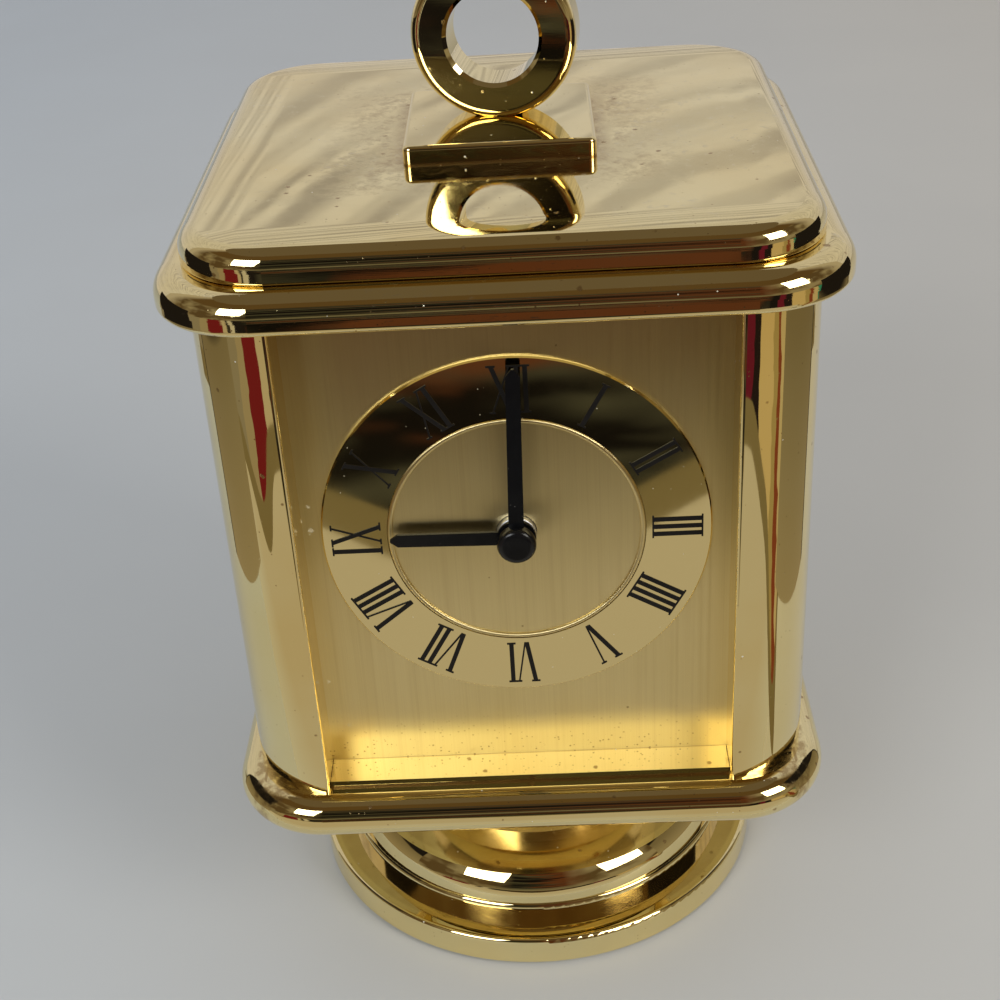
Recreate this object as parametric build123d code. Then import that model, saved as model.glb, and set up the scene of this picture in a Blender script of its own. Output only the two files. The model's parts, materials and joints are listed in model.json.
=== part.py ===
from build123d import *
import os
from math import asin, cos, pi, radians, sin, sqrt

# Photo frame desk clock: a square brass case with rounded corner columns turns on a round foot.
# Origin: centre of the foot's underside. +Z up, the dial looks along -Y. All sizes in millimetres.
# The cell sets the movement's width, the movement sets the openings, and those set the case's width.

# Clearances
running_clearance = 0.05
seat_clearance = 0.05
slide_clearance = 0.10
hole_clearance = 0.08
press_clearance = 0.01
winding_clearance = 0.02

# How far a cutting shape reaches past the face that it cuts, and a joined shape into its neighbour
cut_over = 1.0
join_depth = 0.1
match_tolerance = 0.01

# Cell and movement case
battery_radius = 7.1
battery_length = 48.5
battery_nub_radius = 2.7
battery_nub_length = 1.2
battery_end_radius = 0.6
battery_clearance = 0.3
contact_room = 0.95
contact_thickness = 0.4
contact_width = 6.0
contact_rise = 4.0
contact_floor_gap = 0.3
movement_wall = 1.2
movement_depth = 14.8
movement_corner_radius = 3.0
movement_cover_thickness = 1.2
bay_wall = 1.0
bridge_thickness = 1.2
ear_width = 8.0
ear_reach = 5.4
ear_thickness = 2.0
ear_spacing = 36.0
dial_stud_radius = 1.2
dial_stud_proud = 0.3
nut_wall = 0.8
nut_height = 1.6

# Room round the movement
movement_column_room = 0.85
movement_room_below = 4.75
movement_room_above = 1.1

# Photo frames on the left, right and rear
pane_thickness = 1.5
card_thickness = 0.3
backing_thickness = 1.0
photo_top_gap = 0.4
thumb_notch_radius = 7.0
photo_slot_clearance = 0.3

# Case body
groove_depth = 1.5
plate_setback = 6.4
body_corner_radius = 12.5
column_edge_radius = 0.5
dial_plate_thickness = 1.2

# Mouldings under and over the columns
base_overhang = 2.9
base_thickness = 7.4
base_pocket_rim = 3.85
base_pocket_depth = 4.6
base_pocket_corner_radius = 6.0
raised_floor_height = 1.1
raised_floor_setback = 1.6
top_frame_overhang = 3.3
top_frame_thickness = 4.95
top_frame_upper_radius = 3.1
top_frame_lower_radius = 0.9
moulding_corner_growth = 0.5
moulding_land = 0.16
plate_stop_overlap = 0.5

# Long screws through the columns
column_screw_radius = 1.5
column_screw_wall = 0.57
column_screw_head_radius = 2.8
column_screw_head_height = 1.8
column_screw_head_sink = 0.3
column_screw_bite = 3.9
column_screw_end_room = 0.5

# Lid, plinth and finger ring
lid_inset = 0.05
lid_thickness = 4.15
lid_upper_radius = 2.55
lid_lower_radius = 0.4
lid_corner_step = 1.0
lid_pocket_rim = 3.15
lid_pocket_depth = 2.4
lid_pocket_corner_radius = 3.0
skirt_wall = 1.2
skirt_depth = 4.0
skirt_corner_radius = 0.8
skirt_clearance = 0.2
skirt_photo_gap = 0.35
plinth_margin = 1.55
plinth_depth = 24.2
plinth_height = 2.5
plinth_corner_radius = 1.0
plinth_edge_radius = 0.6
ring_outer_radius = 10.85
ring_hole_radius = 6.03
ring_thickness = 6.8
ring_edge_radius = 1.3
ring_hole_chamfer = 0.5
ring_seat_flat = 0.35
ring_turn_degrees = -7.5
ring_set_back = 1.5
ring_screw_radius = 1.5
ring_screw_head_radius = 3.2
ring_screw_head_height = 1.6
ring_screw_bite = 2.6
ring_screw_end_room = 0.3

# Foot
pad_thickness = 1.5
pad_proud = 0.5
pad_inset = 3.6
foot_radius = 35.6
foot_rim_height = 4.85
foot_bead_radius = 0.7
foot_bottom_chamfer = 0.4
tread_width = 4.6
tier_wall_height = 1.85
tier_edge_run = 0.5
tier_edge_rise = 0.9
tier_edge_bulge = 0.147
tier_slope_run = 1.9
tier_slope_rise = 4.2
tier_slope_bulge = 0.41

# Neck and swivel
neck_height = 19.9
neck_ledge = 7.1
neck_foot_height = 2.0
neck_taper = 1.5
neck_cove_depth = 4.0
neck_head_height = 3.0
neck_gap_under_case = 0.9
friction_washer_inset = 1.0
spindle_radius = 4.0
spindle_head_radius = 8.0
spindle_head_height = 3.0
spindle_end = 0.8
thrust_washer_radius = 10.0
thrust_washer_thickness = 1.0
wave_washer_radius = 9.0
wave_washer_thickness = 0.8
spindle_nut_flats = 13.0
spindle_nut_height = 5.0

# Dial
dial_side_margin = 2.45
chapter_width = 8.55
chapter_thickness = 0.5
chapter_bevel = 0.2
centre_disc_gap = 0.05
centre_disc_thickness = 0.3
centre_bead_radius = 0.35
numeral_inner_margin = 0.75
numeral_outer_margin = 1.0
numeral_thickness = 0.08
numeral_serif = 0.22
numeral_thick_stroke = 0.6
numeral_thin_stroke = 0.22
numeral_stroke_gap = 0.5
numeral_serif_reach = 0.28
wide_letter_width = 2.3
wide_letter_lead = 0.25
wide_letter_trail = 0.825
hour_names = ["I", "II", "III", "IIII", "V", "VI", "VII", "VIII", "IX", "X", "XI", "XII"]

# Hands and what carries them
minute_shaft_radius = 1.2
hour_pipe_wall = 0.65
hour_pipe_proud = 0.2
bush_wall = 0.65
bush_flange_width = 1.4
bush_flange_thickness = 0.6
bush_proud = 1.2
bush_edge_radius = 0.25
hand_thickness = 0.4
hand_width = 2.0
hand_tip_length = 1.0
hand_tip_width = 0.3
hand_taper = 0.1
hour_hand_degrees = 271.0
minute_hand_degrees = 1.5
hour_hand_short = 0.45
hour_hand_gap = 0.3
hour_hub_wall = 0.65
minute_hand_short = 0.6
minute_hand_gap = 0.7
minute_hub_wall = 1.2
hand_nut_overlap = 0.15
hand_nut_height = 1.4
hand_nut_dome_radius = 0.84
shaft_in_nut = 0.8

# Motion work: one module for every pair. The hour wheel's count follows from the shared distance.
motion_module = 0.5
minute_pinion_leaves = 8
minute_wheel_teeth = 30
cannon_pinion_leaves = 10
setting_pinion_leaves = 12
minute_wheel_bearing_degrees = 135.0
setting_bearing_degrees = 90.0
hour_wheel_thickness = 1.2
cannon_thickness = 1.5
minute_wheel_thickness = 0.9
wheel_shake = 0.1
post_radius = 0.8
post_boss_wall = 0.6
setting_arbor_radius = 1.0
setting_knob_radius = 6.0
setting_knob_height = 4.0
setting_knob_crown = 1.0
setting_knob_chamfer = 0.5
setting_knob_flutes = 24
setting_knob_flute_radius = 0.5
setting_knob_flute_depth = 0.25
setting_knob_gap = 0.3

# Going train from the rotor to the centre wheel: 5, 6, 7.5 and 8 to one
train_module = 0.25
train_pinion_leaves = 8
intermediate_wheel_teeth = 40
seconds_wheel_teeth = 48
third_wheel_teeth = 60
centre_wheel_teeth = 64
train_wheel_thickness = 0.5
train_layer_gap = 0.4
train_pinion_overhang = 0.15
train_staff_radius = 0.6
train_pivot_radius = 0.4
train_pivot_length = 1.0
train_boss_wall = 0.9
centre_hub_wall = 0.8
centre_pivot_radius = 0.6
third_bearing_degrees = 150.0
seconds_bearing_degrees = 36.0
intermediate_bearing_degrees = -12.0
rotor_bearing_degrees = 25.0

# Tooth form, in modules: radial flanks and round tips, with pinion leaves thinner than wheel teeth
wheel_tooth_width = 1.50
wheel_addendum = 0.95
wheel_dedendum = 1.15
leaf_width = 1.05
leaf_addendum = 0.67
leaf_dedendum = 1.40

# Step motor and electronics
rotor_magnet_radius = 2.6
rotor_magnet_length = 2.4
rotor_front_room = 0.6
rotor_air_gap = 0.4
stator_thickness = 0.9
stator_ring_width = 2.0
stator_bar_width = 2.0
coil_radius = 3.0
coil_length = 13.0
coil_above_ring = 0.3
core_width = 3.0
coil_cheek_thickness = 1.0
coil_cheek_rim = 0.6
coil_window_gap = 0.4
board_width = 20.0
board_height = 16.0
board_thickness = 1.0
board_side_room = 2.3
board_rise = 1.0
board_hole_wall = 0.6
chip_radius = 3.0
chip_height = 1.2
chip_rise = 2.0
chip_edge_radius = 0.5
crystal_radius = 1.0
crystal_length = 6.0
crystal_drop = 5.0

# Widths worked out from the cell outwards
movement_width = battery_length + battery_nub_length + 2 * (contact_room + movement_wall)
half_movement = movement_width / 2
half_opening = half_movement + movement_column_room
half_sheet = half_opening + groove_depth - slide_clearance
slot_half_length = half_sheet + photo_slot_clearance
skirt_half = slot_half_length - skirt_clearance
pack_thickness = pane_thickness + card_thickness + backing_thickness
recess_plane = skirt_half + skirt_photo_gap + pack_thickness + slide_clearance
slot_half_reach = recess_plane + photo_slot_clearance
half_body = recess_plane + plate_setback
body_width = 2 * half_body
base_width = body_width + 2 * base_overhang
top_frame_width = body_width + 2 * top_frame_overhang
lid_width = body_width - 2 * lid_inset
moulding_corner_radius = body_corner_radius + moulding_corner_growth
photo_groove_width = pack_thickness + 2 * slide_clearance
plate_groove_width = dial_plate_thickness + hole_clearance
screw_centre = slot_half_length + column_screw_head_radius + hole_clearance + column_screw_wall

# Radii of the foot and neck
tier_radius = foot_radius - tread_width
tier_top_radius = tier_radius - tier_edge_run - tier_slope_run
neck_foot_radius = tier_top_radius - neck_ledge
neck_head_radius = neck_foot_radius - neck_taper
neck_waist_radius = neck_head_radius - neck_cove_depth

# Heights from the desk upwards
foot_rim_z = pad_proud + foot_rim_height
tier_wall_z = foot_rim_z + tier_wall_height
tier_edge_z = tier_wall_z + tier_edge_rise
foot_top_z = tier_edge_z + tier_slope_rise
base_bottom_z = foot_top_z + neck_height
neck_top_z = base_bottom_z - neck_gap_under_case
base_top_z = base_bottom_z + base_thickness
base_pocket_z = base_top_z - base_pocket_depth
column_foot_z = base_top_z - raised_floor_height
thrust_washer_z = base_pocket_z + seat_clearance
wave_washer_z = thrust_washer_z + thrust_washer_thickness
spindle_nut_z = wave_washer_z + wave_washer_thickness
spindle_top_z = spindle_nut_z + spindle_nut_height + spindle_end
movement_bottom_z = base_top_z + movement_room_below + ear_reach
dial_z = movement_bottom_z + half_movement
movement_top_z = dial_z + half_movement
column_top_z = movement_top_z + ear_reach + movement_room_above
column_length = column_top_z - column_foot_z
top_frame_top_z = column_top_z + top_frame_thickness
screw_head_z = top_frame_top_z - column_screw_head_sink - column_screw_head_height
lid_bottom_z = top_frame_top_z + seat_clearance
lid_top_z = lid_bottom_z + lid_thickness
plinth_top_z = lid_top_z + plinth_height
ring_centre_z = plinth_top_z + ring_outer_radius - ring_seat_flat

# Radii of the dial, from the opening inwards, and of the hands' fittings, from the shaft outwards
chapter_outer_radius = half_opening - dial_side_margin
chapter_inner_radius = chapter_outer_radius - chapter_width
numeral_inner_radius = chapter_inner_radius + numeral_inner_margin
numeral_height = chapter_outer_radius - chapter_bevel - numeral_outer_margin - numeral_inner_radius
letter_pitch = numeral_thick_stroke + numeral_stroke_gap
hour_hand_length = chapter_inner_radius - hour_hand_short
minute_hand_length = chapter_outer_radius - minute_hand_short
hour_pipe_radius = minute_shaft_radius + running_clearance + hour_pipe_wall
bush_radius = hour_pipe_radius + running_clearance + bush_wall
bush_flange_radius = bush_radius + bush_flange_width
hour_hub_radius = hour_pipe_radius + hour_hub_wall
minute_hub_radius = minute_shaft_radius + minute_hub_wall
hand_nut_radius = minute_hub_radius + hand_nut_overlap

# Depths in front of the dial plate
dial_front_y = -recess_plane
chapter_front_y = dial_front_y - chapter_thickness
centre_front_y = dial_front_y - centre_disc_thickness
bush_front_y = dial_front_y - bush_proud
hour_hand_back_y = bush_front_y - hour_hand_gap
hour_hand_front_y = hour_hand_back_y - hand_thickness
hour_pipe_front_y = hour_hand_front_y - hour_pipe_proud
minute_hand_back_y = hour_hand_front_y - minute_hand_gap
minute_hand_front_y = minute_hand_back_y - hand_thickness
minute_shaft_front_y = minute_hand_front_y - shaft_in_nut
hand_nut_front_y = minute_hand_front_y - hand_nut_height

# Depths behind the dial plate
dial_back_y = dial_front_y + dial_plate_thickness
ear_back_y = dial_back_y + ear_thickness
wall_inner_y = dial_back_y + movement_wall
bush_flange_y = wall_inner_y + bush_flange_thickness
hour_wheel_front_y = bush_flange_y + wheel_shake
hour_wheel_back_y = hour_wheel_front_y + hour_wheel_thickness
cannon_front_y = hour_wheel_back_y + 2 * wheel_shake
cannon_back_y = cannon_front_y + cannon_thickness
minute_wheel_front_y = cannon_front_y + (cannon_thickness - minute_wheel_thickness) / 2
minute_wheel_back_y = minute_wheel_front_y + minute_wheel_thickness
bridge_front_y = cannon_back_y + 2 * wheel_shake
bridge_back_y = bridge_front_y + bridge_thickness
board_front_y = bridge_back_y + seat_clearance
board_back_y = board_front_y + board_thickness
rotor_front_y = bridge_back_y + rotor_front_room
rotor_magnet_back_y = rotor_front_y + rotor_magnet_length
stator_front_y = rotor_front_y + (rotor_magnet_length - stator_thickness) / 2
stator_back_y = stator_front_y + stator_thickness
coil_y = (stator_front_y + stator_back_y) / 2
movement_back_y = dial_back_y + movement_depth
cover_back_y = movement_back_y + movement_cover_thickness
knob_front_y = cover_back_y + setting_knob_gap
knob_back_y = knob_front_y + setting_knob_height
knob_seat_y = knob_back_y - setting_knob_crown

# Heights and widths inside the movement
half_bay = half_movement - movement_wall
battery_z = movement_bottom_z + movement_wall + battery_clearance + battery_radius
battery_y = wall_inner_y + battery_clearance + battery_radius
bay_top_z = battery_z + battery_radius + battery_clearance
work_bottom_z = bay_top_z + bay_wall
work_top_z = movement_top_z - movement_wall
ear_rise = half_movement + ear_reach / 2
nut_flats = 2 * (dial_stud_radius + nut_wall)
dial_stud_length = ear_thickness + nut_height + dial_stud_proud
hour_wheel_teeth = cannon_pinion_leaves + minute_wheel_teeth - minute_pinion_leaves


def train_layer(number):
    """Front of one layer of the going train; layer 0 holds the centre wheel."""
    return stator_back_y + train_layer_gap + number * (train_wheel_thickness + train_layer_gap)


def place_at(centre, distance, degrees):
    """Point (x, z) at a distance and direction from another one, as seen from the front."""
    return (centre[0] + distance * cos(radians(degrees)), centre[1] + distance * sin(radians(degrees)))


def pair_distance(module, first_count, second_count):
    """Distance between the centres of two meshing wheels."""
    return (first_count + second_count) * module / 2


# Centres of the arbors, as (x, z)
centre_place = (0.0, dial_z)
minute_wheel_place = place_at(
    centre_place,
    pair_distance(motion_module, cannon_pinion_leaves, minute_wheel_teeth),
    minute_wheel_bearing_degrees,
)
setting_place = place_at(
    minute_wheel_place,
    pair_distance(motion_module, minute_wheel_teeth, setting_pinion_leaves),
    setting_bearing_degrees,
)
third_place = place_at(
    centre_place,
    pair_distance(train_module, centre_wheel_teeth, train_pinion_leaves),
    third_bearing_degrees,
)
seconds_place = place_at(
    third_place,
    pair_distance(train_module, third_wheel_teeth, train_pinion_leaves),
    seconds_bearing_degrees,
)
intermediate_place = place_at(
    seconds_place,
    pair_distance(train_module, seconds_wheel_teeth, train_pinion_leaves),
    intermediate_bearing_degrees,
)
rotor_place = place_at(
    intermediate_place,
    pair_distance(train_module, intermediate_wheel_teeth, train_pinion_leaves),
    rotor_bearing_degrees,
)
stator_ring_radius = rotor_magnet_radius + rotor_air_gap + stator_ring_width
coil_cheek_radius = coil_radius + coil_cheek_rim
coil_place = (rotor_place[0], rotor_place[1] + stator_ring_radius + coil_above_ring + coil_cheek_radius)
coil_half_width = coil_length / 2 + coil_cheek_thickness
board_place = (board_side_room + board_width / 2 - half_bay, dial_z + board_rise)
boss_front_y = train_layer(3) + train_wheel_thickness + train_layer_gap
pivot_end_y = boss_front_y + train_pivot_length

os.makedirs("parts", exist_ok=True)


def save(name, shape):
    """Write one sub-part under its node name."""
    export_step(shape, "parts/" + name + ".step")


# Shapes that several sub-parts share
def slab(width, depth, bottom_z, top_z, corner_radius=0.0):
    """Flat slab centred on the Z axis, with upright corners rounded."""
    if corner_radius > 0:
        outline = RectangleRounded(width, depth, corner_radius)
    else:
        outline = Rectangle(width, depth)
    return extrude(Plane.XY.offset(bottom_z) * outline, top_z - bottom_z)


def moulded_slab(width, bottom_z, top_z, corner_radius, lower_radius, upper_radius):
    """Square slab whose edge is rounded over below and above, with a land between."""
    block = slab(width, width, bottom_z, top_z, corner_radius)
    block = fillet(block.edges().group_by(Axis.Z)[-1], upper_radius)
    return fillet(block.edges().group_by(Axis.Z)[0], lower_radius)


def upright_rod(radius, bottom_z, top_z, x=0.0, y=0.0):
    """Round rod along Z between two heights."""
    return extrude(Plane.XY.offset(bottom_z) * Pos(x, y) * Circle(radius), top_z - bottom_z)


def front_rod(radius, front_y, back_y, place):
    """Round rod along Y between two depths."""
    plane = Plane((place[0], front_y, place[1]), x_dir=(1, 0, 0), z_dir=(0, 1, 0))
    return extrude(plane * Circle(radius), back_y - front_y)


def cross_rod(radius, low_x, high_x, y, z):
    """Round rod along X between two sides."""
    return extrude(Plane((low_x, y, z), x_dir=(0, 1, 0), z_dir=(1, 0, 0)) * Circle(radius), high_x - low_x)


def front_plate(outline, front_y, back_y, place=(0.0, 0.0)):
    """Outline drawn as seen from the front, given a thickness along Y."""
    plane = Plane((place[0], back_y, place[1]), x_dir=(1, 0, 0), z_dir=(0, -1, 0))
    return extrude(plane * outline, back_y - front_y)


def box_between(low, high):
    """Box from its lowest to its highest corner."""
    size = [high[i] - low[i] for i in range(3)]
    centre = [(high[i] + low[i]) / 2 for i in range(3)]
    return Pos(*centre) * Box(*size)


def corner_box(sx, sy, near_x, far_x, near_y, far_y):
    """Cutting box as tall as the columns, placed in one corner by distances from the case's middle."""
    low = (min(sx * near_x, sx * far_x), min(sy * near_y, sy * far_y), column_foot_z - cut_over)
    high = (max(sx * near_x, sx * far_x), max(sy * near_y, sy * far_y), column_top_z + cut_over)
    return box_between(low, high)


def turned(outline):
    """Solid of revolution about Z from an outline of radius and height."""
    return revolve(Plane.XZ * make_face(outline), Axis.Z)


def bulged_arc(start, end, bulge):
    """Arc that stands out from its chord by bulge, to the right of the way along it."""
    run, rise = end[0] - start[0], end[1] - start[1]
    length = sqrt(run * run + rise * rise)
    middle = (
        (start[0] + end[0]) / 2 + bulge * rise / length,
        (start[1] + end[1]) / 2 - bulge * run / length,
    )
    return ThreePointArc(start, middle, end)


def hexagon(flats):
    """Regular hexagon by its width across flats."""
    return RegularPolygon(flats / 2, 6, major_radius=False)


def corner_signs():
    """The four corners of the case or the movement, lower or front left first."""
    return [(-1, -1), (1, -1), (-1, 1), (1, 1)]


def ear_places():
    """Centres of the movement's four ears, as (x, z)."""
    return [(sx * ear_spacing / 2, dial_z + sz * ear_rise) for sx, sz in corner_signs()]


# Foot: rim with a beaded edge, flat tread, then a rounded step and a swelling slope to the flat top
def make_foot():
    bead_z = foot_rim_z - foot_bead_radius
    bead_x = foot_radius - foot_bead_radius
    outer = Polyline(
        (0, pad_proud),
        (foot_radius - foot_bottom_chamfer, pad_proud),
        (foot_radius, pad_proud + foot_bottom_chamfer),
        (foot_radius, bead_z),
    )
    bead = RadiusArc((foot_radius, bead_z), (bead_x, foot_rim_z), -foot_bead_radius)
    tread = Polyline((bead_x, foot_rim_z), (tier_radius, foot_rim_z), (tier_radius, tier_wall_z))
    edge_end = (tier_radius - tier_edge_run, tier_edge_z)
    edge = bulged_arc((tier_radius, tier_wall_z), edge_end, tier_edge_bulge)
    slope = bulged_arc(edge_end, (tier_top_radius, foot_top_z), tier_slope_bulge)
    close = Polyline((tier_top_radius, foot_top_z), (0, foot_top_z), (0, pad_proud))
    body = turned([*outer.edges(), bead, *tread.edges(), edge, slope, *close.edges()])
    pad_radius = foot_radius - pad_inset
    body -= upright_rod(pad_radius + hole_clearance, pad_proud - cut_over, pad_thickness)
    head_top_z = pad_thickness + spindle_head_height
    body -= upright_rod(spindle_head_radius + hole_clearance, pad_proud, head_top_z)
    return body - upright_rod(spindle_radius + running_clearance, 0, foot_top_z + cut_over)


def make_neck():
    """Spool between foot and case: a low collar, a cove and a head."""
    collar_z = foot_top_z + neck_foot_height
    head_z = neck_top_z - neck_head_height
    left = Polyline((0, foot_top_z), (neck_foot_radius, foot_top_z), (neck_foot_radius, collar_z))
    cove = ThreePointArc(
        (neck_foot_radius, collar_z),
        (neck_waist_radius, (collar_z + head_z) / 2),
        (neck_head_radius, head_z),
    )
    close = Polyline(
        (neck_head_radius, head_z), (neck_head_radius, neck_top_z), (0, neck_top_z), (0, foot_top_z)
    )
    body = turned([*left.edges(), cove, *close.edges()])
    bore_radius = spindle_radius + running_clearance
    return body - upright_rod(bore_radius, foot_top_z - cut_over, neck_top_z + cut_over)


def washer(outer_radius, thickness, bottom_z):
    """Flat washer round the spindle."""
    top_z = bottom_z + thickness
    disc = upright_rod(outer_radius, bottom_z, top_z)
    return disc - upright_rod(spindle_radius + running_clearance, bottom_z - cut_over, top_z + cut_over)


def make_spindle():
    head_top_z = pad_thickness + spindle_head_height
    head = upright_rod(spindle_head_radius, pad_thickness, head_top_z)
    return head + upright_rod(spindle_radius, pad_thickness, spindle_top_z)


def make_spindle_nut():
    nut = extrude(Plane.XY.offset(spindle_nut_z) * hexagon(spindle_nut_flats), spindle_nut_height)
    bore_radius = spindle_radius + running_clearance
    return nut - upright_rod(bore_radius, spindle_nut_z - cut_over, spindle_top_z + cut_over)


friction_washer_radius = neck_head_radius - friction_washer_inset
friction_washer_thickness = neck_gap_under_case - seat_clearance

save("foot_disc", make_foot())
save("foot_pad", upright_rod(foot_radius - pad_inset, 0, pad_thickness))
save("neck_sleeve", make_neck())
save("swivel_spindle", make_spindle())
save("friction_washer", washer(friction_washer_radius, friction_washer_thickness, neck_top_z))
save("thrust_washer", washer(thrust_washer_radius, thrust_washer_thickness, thrust_washer_z))
save("wave_washer", washer(wave_washer_radius, wave_washer_thickness, wave_washer_z))
save("spindle_nut", make_spindle_nut())


# Case: base, four columns, top frame and the long screws that tie them together
def make_base():
    """Nosed slab; its raised floor, a cross between the columns' feet, carries the plate and the sheets."""
    nose = (column_foot_z - base_bottom_z - moulding_land) / 2
    body = moulded_slab(base_width, base_bottom_z, column_foot_z, moulding_corner_radius, nose, nose)
    arm_width = 2 * (half_opening - seat_clearance)
    arm_length = 2 * (half_body - raised_floor_setback)
    body += slab(arm_width, arm_length, column_foot_z - join_depth, base_top_z)
    body += slab(arm_length, arm_width, column_foot_z - join_depth, base_top_z)
    pocket_width = 2 * (half_opening - base_pocket_rim)
    body -= slab(pocket_width, pocket_width, base_pocket_z, base_top_z + cut_over, base_pocket_corner_radius)
    body -= upright_rod(spindle_radius + running_clearance, base_bottom_z - cut_over, base_top_z)
    hole_z = column_foot_z - column_screw_bite - column_screw_end_room
    for sx, sy in corner_signs():
        x, y = sx * screw_centre, sy * screw_centre
        body -= upright_rod(column_screw_radius + hole_clearance, hole_z, base_top_z + cut_over, x, y)
    return body


def make_column(sx, sy):
    """Quarter-round corner column with a groove on each side that faces an opening."""
    middle = (half_body + half_opening) / 2
    span = half_body - half_opening
    corner = Pos(sx * middle, sy * middle) * Rectangle(span, span)
    outline = RectangleRounded(body_width, body_width, body_corner_radius) & corner
    column = extrude(Plane.XY.offset(column_foot_z) * outline, column_length)
    reveal = []
    for edge in column.edges().filter_by(Axis.Z):
        near, far = sorted((abs(edge.center().X), abs(edge.center().Y)))
        if abs(near - half_opening) < match_tolerance and far > middle:
            reveal.append(edge)
    column = fillet(reveal, column_edge_radius)
    hole_bottom_z, hole_top_z = column_foot_z - cut_over, column_top_z + cut_over
    x, y = sx * screw_centre, sy * screw_centre
    column -= upright_rod(column_screw_radius + hole_clearance, hole_bottom_z, hole_top_z, x, y)
    facing_width = plate_groove_width if sy < 0 else photo_groove_width
    near, far = half_opening - cut_over, half_opening + groove_depth
    column -= corner_box(sx, sy, near, far, recess_plane - facing_width, recess_plane)
    return column - corner_box(sx, sy, recess_plane - photo_groove_width, recess_plane, near, far)


def make_top_frame():
    """Moulded frame with a cross-shaped opening for the photo sheets, closed over the dial plate."""
    lower, upper = top_frame_lower_radius, top_frame_upper_radius
    body = moulded_slab(top_frame_width, column_top_z, top_frame_top_z, moulding_corner_radius, lower, upper)
    cut_bottom_z, cut_top_z = column_top_z - cut_over, top_frame_top_z + cut_over
    body -= slab(2 * slot_half_length, 2 * slot_half_reach, cut_bottom_z, cut_top_z)
    body -= slab(2 * slot_half_reach, 2 * slot_half_length, cut_bottom_z, cut_top_z)
    reach = slot_half_length + plate_stop_overlap
    body += box_between(
        (-reach, -slot_half_reach - plate_stop_overlap, column_top_z),
        (reach, -slot_half_length, top_frame_top_z),
    )
    for sx, sy in corner_signs():
        x, y = sx * screw_centre, sy * screw_centre
        body -= upright_rod(column_screw_radius + hole_clearance, cut_bottom_z, screw_head_z + cut_over, x, y)
        body -= upright_rod(column_screw_head_radius + hole_clearance, screw_head_z, cut_top_z, x, y)
    return body


def make_column_screws():
    """Four long screws: head sunk in the top frame, tip in the base."""
    screws = []
    head_top_z = screw_head_z + column_screw_head_height
    tip_z = column_foot_z - column_screw_bite
    for sx, sy in corner_signs():
        x, y = sx * screw_centre, sy * screw_centre
        head = upright_rod(column_screw_head_radius, screw_head_z, head_top_z, x, y)
        screws.append(head + upright_rod(column_screw_radius, tip_z, screw_head_z, x, y))
    return Compound(children=screws)


save("base_moulding", make_base())
for sx, sy in corner_signs():
    name = "column_" + ("front" if sy < 0 else "rear") + ("_left" if sx < 0 else "_right")
    save(name, make_column(sx, sy))
save("top_frame", make_top_frame())
save("column_screws", make_column_screws())


# Lid, its locating skirt, and the plinth and ring that it is lifted by
def make_lid():
    corner = body_corner_radius - lid_corner_step
    body = moulded_slab(lid_width, lid_bottom_z, lid_top_z, corner, lid_lower_radius, lid_upper_radius)
    pocket_width = 2 * (skirt_half - skirt_wall - lid_pocket_rim)
    pocket_top_z = lid_bottom_z + lid_pocket_depth
    body -= slab(pocket_width, pocket_width, lid_bottom_z - cut_over, pocket_top_z, lid_pocket_corner_radius)
    hole_radius = ring_screw_radius + hole_clearance
    return body - upright_rod(hole_radius, lid_bottom_z, lid_top_z + cut_over, 0, ring_set_back)


def make_skirt():
    bottom_z = lid_bottom_z - skirt_depth
    outer = slab(2 * skirt_half, 2 * skirt_half, bottom_z, lid_bottom_z, skirt_corner_radius)
    inner_width = 2 * (skirt_half - skirt_wall)
    return outer - slab(inner_width, inner_width, bottom_z - cut_over, lid_bottom_z + cut_over)


def make_plinth():
    width = 2 * (ring_outer_radius + plinth_margin)
    body = slab(width, plinth_depth, lid_top_z, plinth_top_z, plinth_corner_radius)
    body = fillet(body.edges().group_by(Axis.Z)[-1], plinth_edge_radius)
    hole_radius = ring_screw_radius + hole_clearance
    return body - upright_rod(hole_radius, lid_top_z - cut_over, plinth_top_z + cut_over, 0, ring_set_back)


def make_ring():
    """Upright finger ring with rounded rims, flattened where it stands on the plinth."""
    half = ring_thickness / 2
    body = front_plate(Circle(ring_outer_radius), -half, half)
    body = fillet(body.edges(), ring_edge_radius)
    body -= front_rod(ring_hole_radius, -half - cut_over, half + cut_over, (0, 0))
    circles = body.edges().filter_by(GeomType.CIRCLE)
    rims = circles.filter_by(lambda edge: abs(edge.radius - ring_hole_radius) < match_tolerance)
    body = chamfer(rims, ring_hole_chamfer)
    body = Pos(0, ring_set_back, ring_centre_z) * Rot(0, 0, ring_turn_degrees) * body
    below = 4 * ring_outer_radius
    body -= slab(below, below, plinth_top_z - below, plinth_top_z)
    thread_top_z = plinth_top_z + ring_screw_bite + ring_screw_end_room
    return body - upright_rod(ring_screw_radius + hole_clearance, lid_top_z, thread_top_z, 0, ring_set_back)


def make_ring_screw():
    seat_z = lid_bottom_z + lid_pocket_depth
    head = upright_rod(ring_screw_head_radius, seat_z - ring_screw_head_height, seat_z, 0, ring_set_back)
    shank_bottom_z, shank_top_z = seat_z - join_depth, plinth_top_z + ring_screw_bite
    return head + upright_rod(ring_screw_radius, shank_bottom_z, shank_top_z, 0, ring_set_back)


save("lid", make_lid())
save("lid_skirt", make_skirt())
save("plinth", make_plinth())
save("finger_ring", make_ring())
save("ring_screw", make_ring_screw())


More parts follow.
